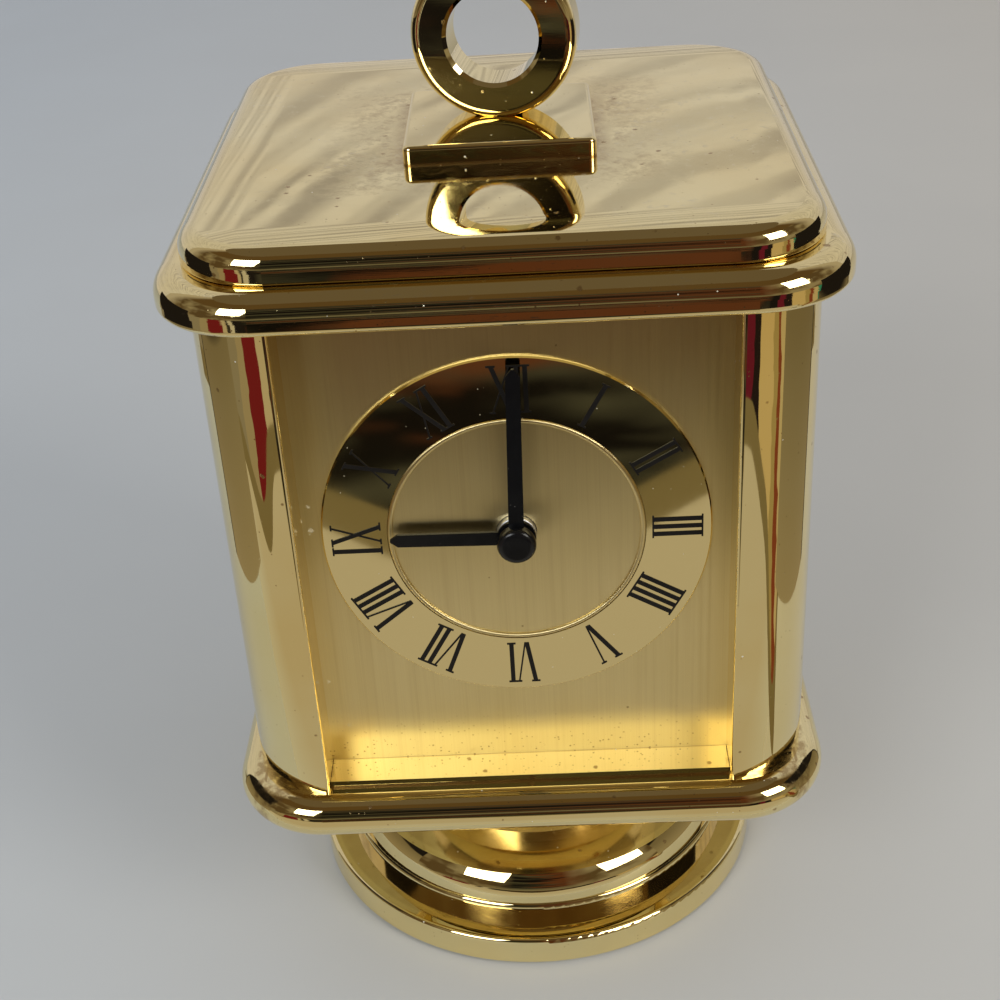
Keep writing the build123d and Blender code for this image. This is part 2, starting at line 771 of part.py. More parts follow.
# Dial: brushed plate, polished chapter ring, centre disc with a bead, and the numerals
def make_dial_plate():
    """Plate that fills the front opening, with four studs behind it for the movement's ears."""
    top_z = column_top_z - seat_clearance
    middle_z = (base_top_z + top_z) / 2
    outline = Rectangle(2 * half_sheet, top_z - base_top_z)
    plate = front_plate(outline, dial_front_y, dial_back_y, (0, middle_z))
    for place in ear_places():
        plate += front_rod(dial_stud_radius, dial_back_y - join_depth, dial_back_y + dial_stud_length, place)
    hole_radius = bush_radius + hole_clearance
    return plate - front_rod(hole_radius, dial_front_y - cut_over, dial_back_y + cut_over, centre_place)


def make_chapter_ring():
    ring = front_rod(chapter_outer_radius, chapter_front_y, dial_front_y, centre_place)
    ring = chamfer(ring.edges().sort_by(Axis.Y)[0], chapter_bevel)
    cut_front_y, cut_back_y = chapter_front_y - cut_over, dial_front_y + cut_over
    return ring - front_rod(chapter_inner_radius, cut_front_y, cut_back_y, centre_place)


def make_dial_centre():
    """Thin disc with a half-round bead round its edge."""
    disc_radius = chapter_inner_radius - centre_disc_gap
    disc = front_rod(disc_radius, centre_front_y, dial_front_y, centre_place)
    bead_plane = Plane((0, centre_front_y, dial_z), x_dir=(1, 0, 0), z_dir=(0, 0, 1))
    bead_section = bead_plane * Pos(disc_radius - centre_bead_radius, 0) * Circle(centre_bead_radius)
    bead = revolve(bead_section, Axis((0, 0, dial_z), (0, 1, 0)))
    behind = front_rod(2 * disc_radius, dial_front_y, dial_front_y + cut_over, centre_place)
    hole_radius = bush_radius + hole_clearance
    hole = front_rod(hole_radius, centre_front_y - cut_over, dial_front_y + cut_over, centre_place)
    return (disc + bead) - behind - hole


def stroke(x_foot, x_head, width):
    """One slanted or upright stroke: its foot and head lie level, and width is measured along them."""
    half = width / 2
    foot = [(x_foot - half, 0), (x_foot + half, 0)]
    head = [(x_head + half, numeral_height), (x_head - half, numeral_height)]
    return make_face(Polyline(*foot, *head, close=True))


def serif(x, stroke_width, at_head):
    """Thin bar across one end of a stroke, reaching past it on both sides."""
    level = numeral_height - numeral_serif / 2 if at_head else numeral_serif / 2
    return Pos(x, level) * Rectangle(stroke_width + 2 * numeral_serif_reach, numeral_serif)


def numeral_face(letters):
    """Roman numeral as seen upright, feet on the base line, centred on x = 0."""
    pieces = []
    x = 0.0
    for letter in letters:
        if letter == "I":
            pieces.append(stroke(x, x, numeral_thick_stroke))
            pieces.append(serif(x, numeral_thick_stroke, False))
            pieces.append(serif(x, numeral_thick_stroke, True))
            x += letter_pitch
            continue
        left = x + wide_letter_lead
        right = left + wide_letter_width
        if letter == "V":
            middle = (left + right) / 2
            pieces.append(stroke(middle - numeral_thin_stroke / 2, left, numeral_thick_stroke))
            pieces.append(stroke(middle + numeral_thin_stroke / 2, right, numeral_thin_stroke))
        else:
            pieces.append(stroke(right, left, numeral_thick_stroke))
            pieces.append(stroke(left, right, numeral_thin_stroke))
            pieces.append(serif(left, numeral_thin_stroke, False))
            pieces.append(serif(right, numeral_thick_stroke, False))
        pieces.append(serif(left, numeral_thick_stroke, True))
        pieces.append(serif(right, numeral_thin_stroke, True))
        x = right + wide_letter_trail
    shape = pieces[0].fuse(*pieces[1:])
    box = shape.bounding_box()
    return Pos(-(box.min.X + box.max.X) / 2, 0) * shape


def make_numerals():
    """The twelve numerals, their feet towards the dial's centre."""
    solids = []
    for hour, letters in enumerate(hour_names, start=1):
        turn = -360 / len(hour_names) * hour
        face = Rot(0, 0, turn) * Pos(0, numeral_inner_radius) * numeral_face(letters)
        front_y = chapter_front_y - numeral_thickness
        solids += front_plate(face, front_y, chapter_front_y, centre_place).solids()
    return Compound(children=solids)


save("dial_plate", make_dial_plate())
save("chapter_ring", make_chapter_ring())
save("dial_centre", make_dial_centre())
save("hour_numerals", make_numerals())


# Hands: pointed bars on hubs, each carried by its own pipe or shaft
def hand(length, hub_radius, bore_radius, front_y, degrees):
    """Slightly tapered hand with a pointed tip and a round hub, turned clockwise from twelve."""
    half = hand_width / 2
    half_shoulder = half - hand_taper
    half_tip = hand_tip_width / 2
    shoulder = length - hand_tip_length
    right = [(half, 0), (half_shoulder, shoulder), (half_tip, length)]
    left = [(-x, z) for x, z in reversed(right)]
    outline = Rot(0, 0, -degrees) * (make_face(Polyline(*right, *left, close=True)) + Circle(hub_radius))
    back_y = front_y + hand_thickness
    body = front_plate(outline, front_y, back_y, centre_place)
    return body - front_rod(bore_radius, front_y - cut_over, back_y + cut_over, centre_place)


def make_hand_nut():
    """Domed cap that holds the minute hand, screwed on the end of the shaft."""
    cap = front_rod(hand_nut_radius, hand_nut_front_y, minute_hand_front_y, centre_place)
    cap = fillet(cap.edges().sort_by(Axis.Y)[0], hand_nut_dome_radius)
    bore_front_y = minute_shaft_front_y - seat_clearance
    return cap - front_rod(
        minute_shaft_radius + press_clearance, bore_front_y, minute_hand_front_y + cut_over, centre_place
    )


def make_bush():
    """Flanged bush, held in the movement's front wall and passing through the dial."""
    body = front_rod(bush_radius, bush_front_y, wall_inner_y, centre_place)
    body += front_rod(bush_flange_radius, wall_inner_y, bush_flange_y, centre_place)
    body = fillet(body.edges().sort_by(Axis.Y)[0], bush_edge_radius)
    bore_radius = hour_pipe_radius + running_clearance
    return body - front_rod(bore_radius, bush_front_y - cut_over, bush_flange_y + cut_over, centre_place)


hour_bore_radius = hour_pipe_radius + press_clearance
minute_bore_radius = minute_shaft_radius + press_clearance

save("dial_bush", make_bush())
save("hour_hand", hand(hour_hand_length, hour_hub_radius, hour_bore_radius, hour_hand_front_y, hour_hand_degrees))
save("minute_hand", hand(minute_hand_length, minute_hub_radius, minute_bore_radius, minute_hand_front_y, minute_hand_degrees))
save("hand_nut", make_hand_nut())


# Wheels and pinions
def gear_face(module, teeth, is_pinion, start_degrees):
    """Toothed outline, one tooth centred on start_degrees, seen from the front."""
    pitch_radius = teeth * module / 2
    width = module * (leaf_width if is_pinion else wheel_tooth_width)
    addendum = module * (leaf_addendum if is_pinion else wheel_addendum)
    root_radius = pitch_radius - module * (leaf_dedendum if is_pinion else wheel_dedendum)
    half_angle = asin(width / 2 / pitch_radius)
    pitch_angle = 2 * pi / teeth

    def at(radius, angle):
        return (radius * cos(angle), radius * sin(angle))

    edges = []
    for index in range(teeth):
        middle = radians(start_degrees) + index * pitch_angle
        low, high = middle - half_angle, middle + half_angle
        next_low = low + pitch_angle
        tip = at(pitch_radius + addendum, middle)
        edges.append(Line(at(root_radius, low), at(pitch_radius, low)))
        edges.append(ThreePointArc(at(pitch_radius, low), tip, at(pitch_radius, high)))
        edges.append(Line(at(pitch_radius, high), at(root_radius, high)))
        root_middle = at(root_radius, (high + next_low) / 2)
        edges.append(ThreePointArc(at(root_radius, high), root_middle, at(root_radius, next_low)))
    return make_face(edges)


def mesh_start(own_teeth, other_teeth, other_start, degrees):
    """Angle of a tooth lying in a gap of the other wheel; degrees points from that wheel to this one."""
    share = ((degrees - other_start) * other_teeth / 360) % 1.0
    return degrees + 180 - (0.5 - share) * 360 / own_teeth


cannon_start = 0.0
minute_wheel_start = mesh_start(
    minute_wheel_teeth, cannon_pinion_leaves, cannon_start, minute_wheel_bearing_degrees
)
hour_wheel_start = mesh_start(
    hour_wheel_teeth, minute_pinion_leaves, minute_wheel_start, minute_wheel_bearing_degrees + 180
)
setting_start = mesh_start(
    setting_pinion_leaves, minute_wheel_teeth, minute_wheel_start, setting_bearing_degrees
)
centre_wheel_start = 0.0
third_start = mesh_start(train_pinion_leaves, centre_wheel_teeth, centre_wheel_start, third_bearing_degrees)
seconds_start = mesh_start(train_pinion_leaves, third_wheel_teeth, third_start, seconds_bearing_degrees)
intermediate_start = mesh_start(
    train_pinion_leaves, seconds_wheel_teeth, seconds_start, intermediate_bearing_degrees
)
rotor_start = mesh_start(
    train_pinion_leaves, intermediate_wheel_teeth, intermediate_start, rotor_bearing_degrees
)


# Motion work: it turns the hour hand once for twelve turns of the minute hand, and sets both
def make_hour_wheel():
    """Hour wheel with its long pipe, which carries the hour hand."""
    outline = gear_face(motion_module, hour_wheel_teeth, False, hour_wheel_start)
    body = front_plate(outline, hour_wheel_front_y, hour_wheel_back_y, centre_place)
    body += front_rod(hour_pipe_radius, hour_pipe_front_y, hour_wheel_back_y, centre_place)
    bore_radius = minute_shaft_radius + running_clearance
    cut_front_y, cut_back_y = hour_pipe_front_y - cut_over, hour_wheel_back_y + cut_over
    return body - front_rod(bore_radius, cut_front_y, cut_back_y, centre_place)


def make_cannon_pinion():
    """Cannon pinion on the shaft that carries the minute hand, runs in the bridge and ends in the cover."""
    outline = gear_face(motion_module, cannon_pinion_leaves, True, cannon_start)
    leaves = front_plate(outline, cannon_front_y, cannon_back_y, centre_place)
    shaft_back_y = train_layer(0) + train_wheel_thickness + wheel_shake
    shaft = front_rod(minute_shaft_radius, minute_shaft_front_y, shaft_back_y, centre_place)
    pivot = front_rod(centre_pivot_radius, shaft_back_y - join_depth, pivot_end_y - wheel_shake, centre_place)
    return leaves + shaft + pivot


def make_minute_wheel():
    """Minute wheel and its pinion in one piece, running on a post."""
    wheel_face = gear_face(motion_module, minute_wheel_teeth, False, minute_wheel_start)
    wheel = front_plate(wheel_face, minute_wheel_front_y, minute_wheel_back_y, minute_wheel_place)
    pinion_face = gear_face(motion_module, minute_pinion_leaves, True, minute_wheel_start)
    pinion = front_plate(pinion_face, hour_wheel_front_y, minute_wheel_front_y, minute_wheel_place)
    bore = front_rod(post_radius + running_clearance, wall_inner_y, bridge_back_y, minute_wheel_place)
    return wheel + pinion - bore


def make_setting_pinion():
    """Pinion on the arbor that the setting knob turns."""
    outline = gear_face(motion_module, setting_pinion_leaves, True, setting_start)
    leaves = front_plate(outline, minute_wheel_front_y, minute_wheel_back_y, setting_place)
    return leaves + front_rod(setting_arbor_radius, wall_inner_y + wheel_shake, knob_seat_y, setting_place)


def make_setting_knob():
    """Fluted knob pressed on the setting arbor."""
    knob = front_rod(setting_knob_radius, knob_front_y, knob_back_y, setting_place)
    knob = chamfer(knob.edges().sort_by(Axis.Y)[-1], setting_knob_chamfer)
    flute_distance = setting_knob_radius + setting_knob_flute_radius - setting_knob_flute_depth
    for index in range(setting_knob_flutes):
        place = place_at(setting_place, flute_distance, 360 * index / setting_knob_flutes)
        knob -= front_rod(setting_knob_flute_radius, knob_front_y - cut_over, knob_back_y + cut_over, place)
    bore_radius = setting_arbor_radius + press_clearance
    return knob - front_rod(bore_radius, knob_front_y - cut_over, knob_seat_y, setting_place)


save("hour_wheel", make_hour_wheel())
save("cannon_pinion", make_cannon_pinion())
save("minute_wheel", make_minute_wheel())
save("setting_pinion", make_setting_pinion())
save("setting_knob", make_setting_knob())


# Going train: each wheel has the pinion that turns the next one in front of it
def train_wheel(teeth, layer, start_degrees, place):
    outline = gear_face(train_module, teeth, False, start_degrees)
    return front_plate(outline, train_layer(layer), train_layer(layer) + train_wheel_thickness, place)


def train_pinion(layer, start_degrees, place):
    """Pinion that meshes with the wheel of one layer, a little longer than that wheel is thick."""
    outline = gear_face(train_module, train_pinion_leaves, True, start_degrees)
    front_y = train_layer(layer) - train_pinion_overhang
    back_y = train_layer(layer) + train_wheel_thickness + train_pinion_overhang
    return front_plate(outline, front_y, back_y, place)


def train_arbor(front_y, place):
    """Staff with a thin pivot at each end, in the bridge and in the cover's boss."""
    staff = front_rod(train_staff_radius, front_y, boss_front_y - wheel_shake, place)
    pivot_front_y = bridge_front_y + wheel_shake
    return staff + front_rod(train_pivot_radius, pivot_front_y, pivot_end_y - wheel_shake, place)


def make_train_wheel(teeth, layer, start_degrees, place):
    """Wheel in its layer and pinion in the layer before it, on one arbor."""
    wheel = train_wheel(teeth, layer, start_degrees, place)
    pinion = train_pinion(layer - 1, start_degrees, place)
    return train_arbor(bridge_back_y + wheel_shake, place) + wheel + pinion


def make_centre_wheel():
    """Wheel that drives the minute shaft by friction, on a hub that reaches to the bridge."""
    wheel = train_wheel(centre_wheel_teeth, 0, centre_wheel_start, centre_place)
    hub_radius = minute_shaft_radius + running_clearance + centre_hub_wall
    back_y = train_layer(0) + train_wheel_thickness
    hub = front_rod(hub_radius, bridge_back_y + wheel_shake, back_y, centre_place)
    bore = front_rod(minute_shaft_radius + running_clearance, bridge_back_y, back_y + cut_over, centre_place)
    return wheel + hub - bore


def make_rotor():
    """Two-pole magnet on an arbor, with the pinion that drives the train."""
    magnet = front_rod(rotor_magnet_radius, rotor_front_y, rotor_magnet_back_y, rotor_place)
    arbor = train_arbor(bridge_back_y + wheel_shake, rotor_place)
    return magnet + arbor + train_pinion(3, rotor_start, rotor_place)


save("centre_wheel", make_centre_wheel())
save("third_wheel", make_train_wheel(third_wheel_teeth, 1, third_start, third_place))
save("seconds_wheel", make_train_wheel(seconds_wheel_teeth, 2, seconds_start, seconds_place))
save(
    "intermediate_wheel",
    make_train_wheel(intermediate_wheel_teeth, 3, intermediate_start, intermediate_place),
)
save("rotor", make_rotor())


# Movement case, bridge and rear cover
def make_movement_case():
    """Tray open to the rear: battery bay below, wheel space above, four ears for the dial studs."""
    outline = RectangleRounded(movement_width, movement_width, movement_corner_radius)
    body = front_plate(outline, dial_back_y, movement_back_y, centre_place)
    open_y = movement_back_y + cut_over
    body -= box_between((-half_bay, wall_inner_y, work_bottom_z), (half_bay, open_y, work_top_z))
    bay_bottom_z = movement_bottom_z + movement_wall
    body -= box_between((-half_bay, wall_inner_y, bay_bottom_z), (half_bay, open_y, bay_top_z))
    for place in ear_places():
        body += front_plate(Rectangle(ear_width, ear_reach), dial_back_y, ear_back_y, place)
    ear_hole_radius = dial_stud_radius + hole_clearance
    for place in ear_places():
        body -= front_rod(ear_hole_radius, dial_back_y - cut_over, ear_back_y + cut_over, place)
    bush_hole_radius = bush_radius + press_clearance
    body -= front_rod(bush_hole_radius, dial_back_y - cut_over, wall_inner_y + cut_over, centre_place)
    root_y = wall_inner_y - join_depth
    boss_y = hour_wheel_front_y - wheel_shake
    body += front_rod(post_radius, root_y, bridge_front_y, minute_wheel_place)
    return body + front_rod(post_radius + post_boss_wall, root_y, boss_y, minute_wheel_place)


def make_movement_nuts():
    """Nuts on the four dial studs."""
    nuts = []
    back_y = ear_back_y + nut_height
    for place in ear_places():
        nut = front_plate(hexagon(nut_flats), ear_back_y, back_y, place)
        hole = front_rod(dial_stud_radius + press_clearance, ear_back_y - cut_over, back_y + cut_over, place)
        nuts.append(nut - hole)
    return Compound(children=nuts)


def make_bridge():
    """Middle plate in which every arbor runs, with a window round the coil."""
    low = (-half_bay + hole_clearance, bridge_front_y, work_bottom_z + hole_clearance)
    high = (half_bay - hole_clearance, bridge_back_y, work_top_z - hole_clearance)
    body = box_between(low, high)
    front_y, back_y = bridge_front_y - cut_over, bridge_back_y + cut_over
    holes = [(centre_place, minute_shaft_radius), (setting_place, setting_arbor_radius)]
    for place in (third_place, seconds_place, intermediate_place, rotor_place):
        holes.append((place, train_pivot_radius))
    for place, radius in holes:
        body -= front_rod(radius + running_clearance, front_y, back_y, place)
    half_width = coil_half_width + coil_window_gap
    half_height = coil_cheek_radius + coil_window_gap
    return body - box_between(
        (coil_place[0] - half_width, front_y, coil_place[1] - half_height),
        (coil_place[0] + half_width, back_y, coil_place[1] + half_height),
    )


def make_cover():
    """Rear cover over the wheel space, with the setting arbor's hole and a boss for each rear pivot."""
    low = (-half_movement, movement_back_y, work_bottom_z - bay_wall)
    high = (half_movement, cover_back_y, movement_top_z)
    body = box_between(low, high)
    body = fillet(body.edges().filter_by(Axis.Y).group_by(Axis.Z)[-1], movement_corner_radius)
    hole_radius = setting_arbor_radius + running_clearance
    body -= front_rod(hole_radius, movement_back_y - cut_over, cover_back_y + cut_over, setting_place)
    pivots = [(centre_place, centre_pivot_radius)]
    for place in (third_place, seconds_place, intermediate_place, rotor_place):
        pivots.append((place, train_pivot_radius))
    for place, radius in pivots:
        body += front_rod(radius + train_boss_wall, boss_front_y, movement_back_y + join_depth, place)
        body -= front_rod(radius + running_clearance, boss_front_y - cut_over, pivot_end_y, place)
    return body


save("movement_case", make_movement_case())
save("movement_nuts", make_movement_nuts())
save("movement_bridge", make_bridge())
save("movement_cover", make_cover())


# Step motor and circuit board
def make_stator():
    """Plate round the rotor whose two legs run up to the coil's core."""
    rotor_x, rotor_z = rotor_place
    coil_z = coil_place[1]
    leg_x = coil_half_width + core_width / 2
    ring = Pos(rotor_x, rotor_z) * Circle(stator_ring_radius)
    bar = Pos(rotor_x, rotor_z) * Rectangle(2 * leg_x + core_width, stator_bar_width)
    core = Pos(rotor_x, coil_z) * Rectangle(2 * leg_x + core_width, core_width)
    outline = ring + bar + core
    for side in (-1, 1):
        leg = Rectangle(core_width, coil_z - rotor_z + core_width)
        outline += Pos(rotor_x + side * leg_x, (rotor_z + coil_z) / 2) * leg
    outline -= Pos(rotor_x, rotor_z) * Circle(rotor_magnet_radius + rotor_air_gap)
    return front_plate(outline, stator_front_y, stator_back_y)


def make_coil():
    """Wound bobbin with two cheeks, slid over the stator's core."""
    x, z = coil_place
    half = coil_length / 2
    body = cross_rod(coil_radius, x - half, x + half, coil_y, z)
    for low_x in (x - coil_half_width, x + half):
        body += cross_rod(coil_cheek_radius, low_x, low_x + coil_cheek_thickness, coil_y, z)
    half_core = core_width / 2 + winding_clearance
    slot_half_length = coil_half_width + cut_over
    return body - box_between(
        (x - slot_half_length, stator_front_y - winding_clearance, z - half_core),
        (x + slot_half_length, stator_back_y + winding_clearance, z + half_core),
    )


def make_board():
    """Circuit board lying on the bridge, with the round sealed chip and the third arbor's hole."""
    board = front_plate(Rectangle(board_width, board_height), board_front_y, board_back_y, board_place)
    hole_radius = train_staff_radius + board_hole_wall
    board -= front_rod(hole_radius, board_front_y - cut_over, board_back_y + cut_over, third_place)
    chip_place = (board_place[0], board_place[1] + chip_rise)
    chip = front_rod(chip_radius, board_back_y - join_depth, board_back_y + chip_height, chip_place)
    return board + fillet(chip.edges().sort_by(Axis.Y)[-1], chip_edge_radius)


def make_crystal():
    """Can-shaped crystal lying on the board."""
    x, z = board_place
    low_x = x - crystal_length / 2
    y = board_back_y + crystal_radius
    return cross_rod(crystal_radius, low_x, low_x + crystal_length, y, z - crystal_drop)


def make_battery():
    """Round cell lying across the movement, nub to the right."""
    low_x = -(battery_length + battery_nub_length) / 2
    nub_x = low_x + battery_length
    body = cross_rod(battery_radius, low_x, nub_x, battery_y, battery_z)
    body = fillet(body.edges(), battery_end_radius)
    nub_end_x = nub_x + battery_nub_length
    return body + cross_rod(battery_nub_radius, nub_x - join_depth, nub_end_x, battery_y, battery_z)


def make_contact(side):
    """Sprung contact strip beside the battery's end, its foot bent outwards to the bay's wall."""
    near = (battery_length + battery_nub_length) / 2 + seat_clearance
    far = half_bay - winding_clearance
    top_z = battery_z + contact_rise
    strip = box_between(
        (near, battery_y - contact_width / 2, movement_bottom_z + movement_wall + contact_floor_gap),
        (near + contact_thickness, battery_y + contact_width / 2, top_z),
    )
    foot = box_between(
        (near, battery_y - contact_width / 2, top_z - contact_thickness),
        (far, battery_y + contact_width / 2, top_z),
    )
    strip += foot
    return strip if side > 0 else mirror(strip, Plane.YZ)


save("stator", make_stator())
save("coil", make_coil())
save("circuit_board", make_board())
save("crystal", make_crystal())
save("battery", make_battery())
save("contact_positive", make_contact(1))
save("contact_negative", make_contact(-1))


# Photo frames: clear pane, card and backing slide down together behind the columns of three sides
def make_sheet(depth, thickness, notched):
    """Sheet of the rear frame, its outer face depth in front of the case's middle."""
    bottom_z = base_top_z + seat_clearance
    top_z = lid_bottom_z - seat_clearance - photo_top_gap
    outline = Rectangle(2 * half_sheet, top_z - bottom_z)
    sheet = front_plate(outline, depth - thickness, depth, (0, (bottom_z + top_z) / 2))
    if notched:
        sheet -= front_rod(thumb_notch_radius, depth - thickness - cut_over, depth + cut_over, (0, top_z))
    return sheet


pane_face = recess_plane - slide_clearance
card_face = pane_face - pane_thickness
backing_face = card_face - card_thickness

for side, degrees in (("rear", 0), ("left", 90), ("right", -90)):
    save("photo_pane_" + side, Rot(0, 0, degrees) * make_sheet(pane_face, pane_thickness, False))
    save("photo_card_" + side, Rot(0, 0, degrees) * make_sheet(card_face, card_thickness, True))
    save("photo_backing_" + side, Rot(0, 0, degrees) * make_sheet(backing_face, backing_thickness, True))
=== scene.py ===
import bpy
import json
from math import cos, radians, sin
import numpy as np
from mathutils import Matrix, Vector


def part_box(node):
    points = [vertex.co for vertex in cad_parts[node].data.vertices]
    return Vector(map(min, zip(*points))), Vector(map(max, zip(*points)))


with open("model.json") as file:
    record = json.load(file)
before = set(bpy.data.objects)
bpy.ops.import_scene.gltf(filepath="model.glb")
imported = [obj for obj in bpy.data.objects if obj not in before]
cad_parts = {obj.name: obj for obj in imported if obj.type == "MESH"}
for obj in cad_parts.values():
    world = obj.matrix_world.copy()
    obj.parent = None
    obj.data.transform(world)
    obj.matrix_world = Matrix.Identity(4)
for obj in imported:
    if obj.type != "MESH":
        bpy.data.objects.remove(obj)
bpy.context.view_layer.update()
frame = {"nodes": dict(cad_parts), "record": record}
nodes = frame["nodes"]
millimetre = 0.001
raised_floor_edge = 37.4  # half the width of the base's raised floor, in millimetres


# Materials
class Wire:
    """An output of one node. Arithmetic on it adds Math nodes to the same material."""

    def __init__(self, bench, socket):
        self.bench = bench
        self.socket = socket

    def maths(self, operation, *values):
        return self.bench.node("ShaderNodeMath", {"operation": operation}, dict(enumerate(values)))

    def __add__(self, other):
        return self.maths("ADD", self, other)

    def __sub__(self, other):
        return self.maths("SUBTRACT", self, other)

    def __rsub__(self, other):
        return self.maths("SUBTRACT", other, self)

    def __mul__(self, other):
        return self.maths("MULTIPLY", self, other)

    def __gt__(self, other):
        return self.maths("GREATER_THAN", self, other)

    def __lt__(self, other):
        return self.maths("LESS_THAN", self, other)

    def __abs__(self):
        return self.maths("ABSOLUTE", self)

    __radd__ = __add__
    __rmul__ = __mul__

    def larger(self, other):
        return self.maths("MAXIMUM", self, other)

    def power(self, exponent):
        return self.maths("POWER", self, exponent)

    def fraction(self):
        return self.maths("FRACT", self)

    def ramp(self, low, high, out_low=0.0, out_high=1.0):
        """Straight change between two numbers while the value goes from low to high, held outside."""
        return self.bench.node("ShaderNodeMapRange", {"clamp": True}, {
            "Value": self, "From Min": low, "From Max": high, "To Min": out_low, "To Max": out_high})


class Bench:
    """One material in the making: a Principled surface and the nodes that feed it."""

    def __init__(self, name):
        self.material = bpy.data.materials.new(name)
        self.material.use_nodes = True
        self.tree = self.material.node_tree
        self.surface = self.tree.nodes["Principled BSDF"]
        self.place = self.node("ShaderNodeTexCoord", output="Object")

    def node(self, kind, settings=None, sockets=None, output=0):
        """Adds a node. Its settings come first, a colour ramp's stops among them, then values or wires
        for its sockets."""
        made = self.tree.nodes.new(kind)
        for key, value in (settings or {}).items():
            if key == "stops":
                self.lay_stops(made.color_ramp, value)
            else:
                setattr(made, key, value)
        for key, value in (sockets or {}).items():
            if isinstance(value, Wire):
                self.tree.links.new(value.socket, made.inputs[key])
            elif isinstance(value, tuple) and len(value) < len(made.inputs[key].default_value):
                made.inputs[key].default_value = (*value, 1.0)
            else:
                made.inputs[key].default_value = value
        return Wire(self, made.outputs[output])

    @staticmethod
    def lay_stops(ramp, stops):
        """Colours that each hold from their own place on the ramp to the next one's."""
        ramp.interpolation = "CONSTANT"
        ramp.elements[0].position, ramp.elements[0].color = stops[0][0], (*stops[0][1], 1.0)
        ramp.elements[-1].position, ramp.elements[-1].color = stops[-1][0], (*stops[-1][1], 1.0)
        for place, colour in stops[1:-1]:
            ramp.elements.new(place).color = (*colour, 1.0)

    def stretched(self, scale, shift=(0.0, 0.0, 0.0)):
        """Object coordinates times a number of cells to the millimetre along each axis, shifted."""
        factors = tuple(s / millimetre for s in scale)
        return self.node("ShaderNodeMapping", None, {
            "Vector": self.place, "Scale": factors, "Location": shift})

    def along(self, axis):
        """One Object coordinate, in millimetres."""
        parts = self.node("ShaderNodeSeparateXYZ", None, {"Vector": self.place}, "XYZ".index(axis))
        return parts * (1.0 / millimetre)

    def noise(self, scale, detail=3.0, rough=0.5, shift=(0.0, 0.0, 0.0)):
        """Cloudy noise from 0 to 1, with so many cells to the millimetre, the same or per axis."""
        scale = scale if isinstance(scale, tuple) else (scale,) * 3
        return self.node("ShaderNodeTexNoise", None, {
            "Vector": self.stretched(scale, shift), "Scale": 1.0, "Detail": detail, "Roughness": rough})

    def spots(self, scale, radius, share, shift=(0.0, 0.0, 0.0)):
        """Ragged spots: 1 inside, 0 outside. Cells hold one by the given share; radius is in cells."""
        cells = self.node("ShaderNodeTexVoronoi", None, {
            "Vector": self.stretched((scale,) * 3, shift), "Scale": 1.0, "Randomness": 1.0})
        cell_colour = Wire(self, cells.socket.node.outputs["Color"])
        lot = self.node("ShaderNodeSeparateColor", None, {"Color": cell_colour})
        size = Wire(self, lot.socket.node.outputs[1])
        ragged = self.noise(scale * 5, 2.0, 0.6, shift)
        reach = radius * (0.3 + 0.7 * size) * (0.4 + 1.2 * ragged)
        return (lot < share) * (reach - cells).ramp(0.0, radius * 0.35)

    def mix(self, share, first, second):
        """Colour that goes from the first to the second as the share goes from 0 to 1."""
        return self.node("ShaderNodeMix", {"data_type": "RGBA"}, {0: share, 6: first, 7: second}, 2)

    def bump(self, height, depth, below=None):
        """Tilt of the surface from a height wire; depth is what a change from 0 to 1 stands for,
        in millimetres."""
        sockets = {"Height": height, "Distance": depth * millimetre, "Strength": 1.0}
        if below is not None:
            sockets["Normal"] = below
        return self.node("ShaderNodeBump", None, sockets)

    def finish(self, **sockets):
        """Sets the surface's sockets, whose names are written with underscores."""
        for key, value in sockets.items():
            socket = self.surface.inputs[key.replace("_", " ")]
            if isinstance(value, Wire):
                self.tree.links.new(value.socket, socket)
            elif isinstance(value, tuple):
                socket.default_value = (*value, 1.0)
            else:
                socket.default_value = value
        return self.material


gold = (0.91, 0.775, 0.41)
gold_warm = (0.88, 0.71, 0.335)
tarnish_and_shade = (0.34, 0.20, 0.07)
lime = (0.74, 0.71, 0.62)


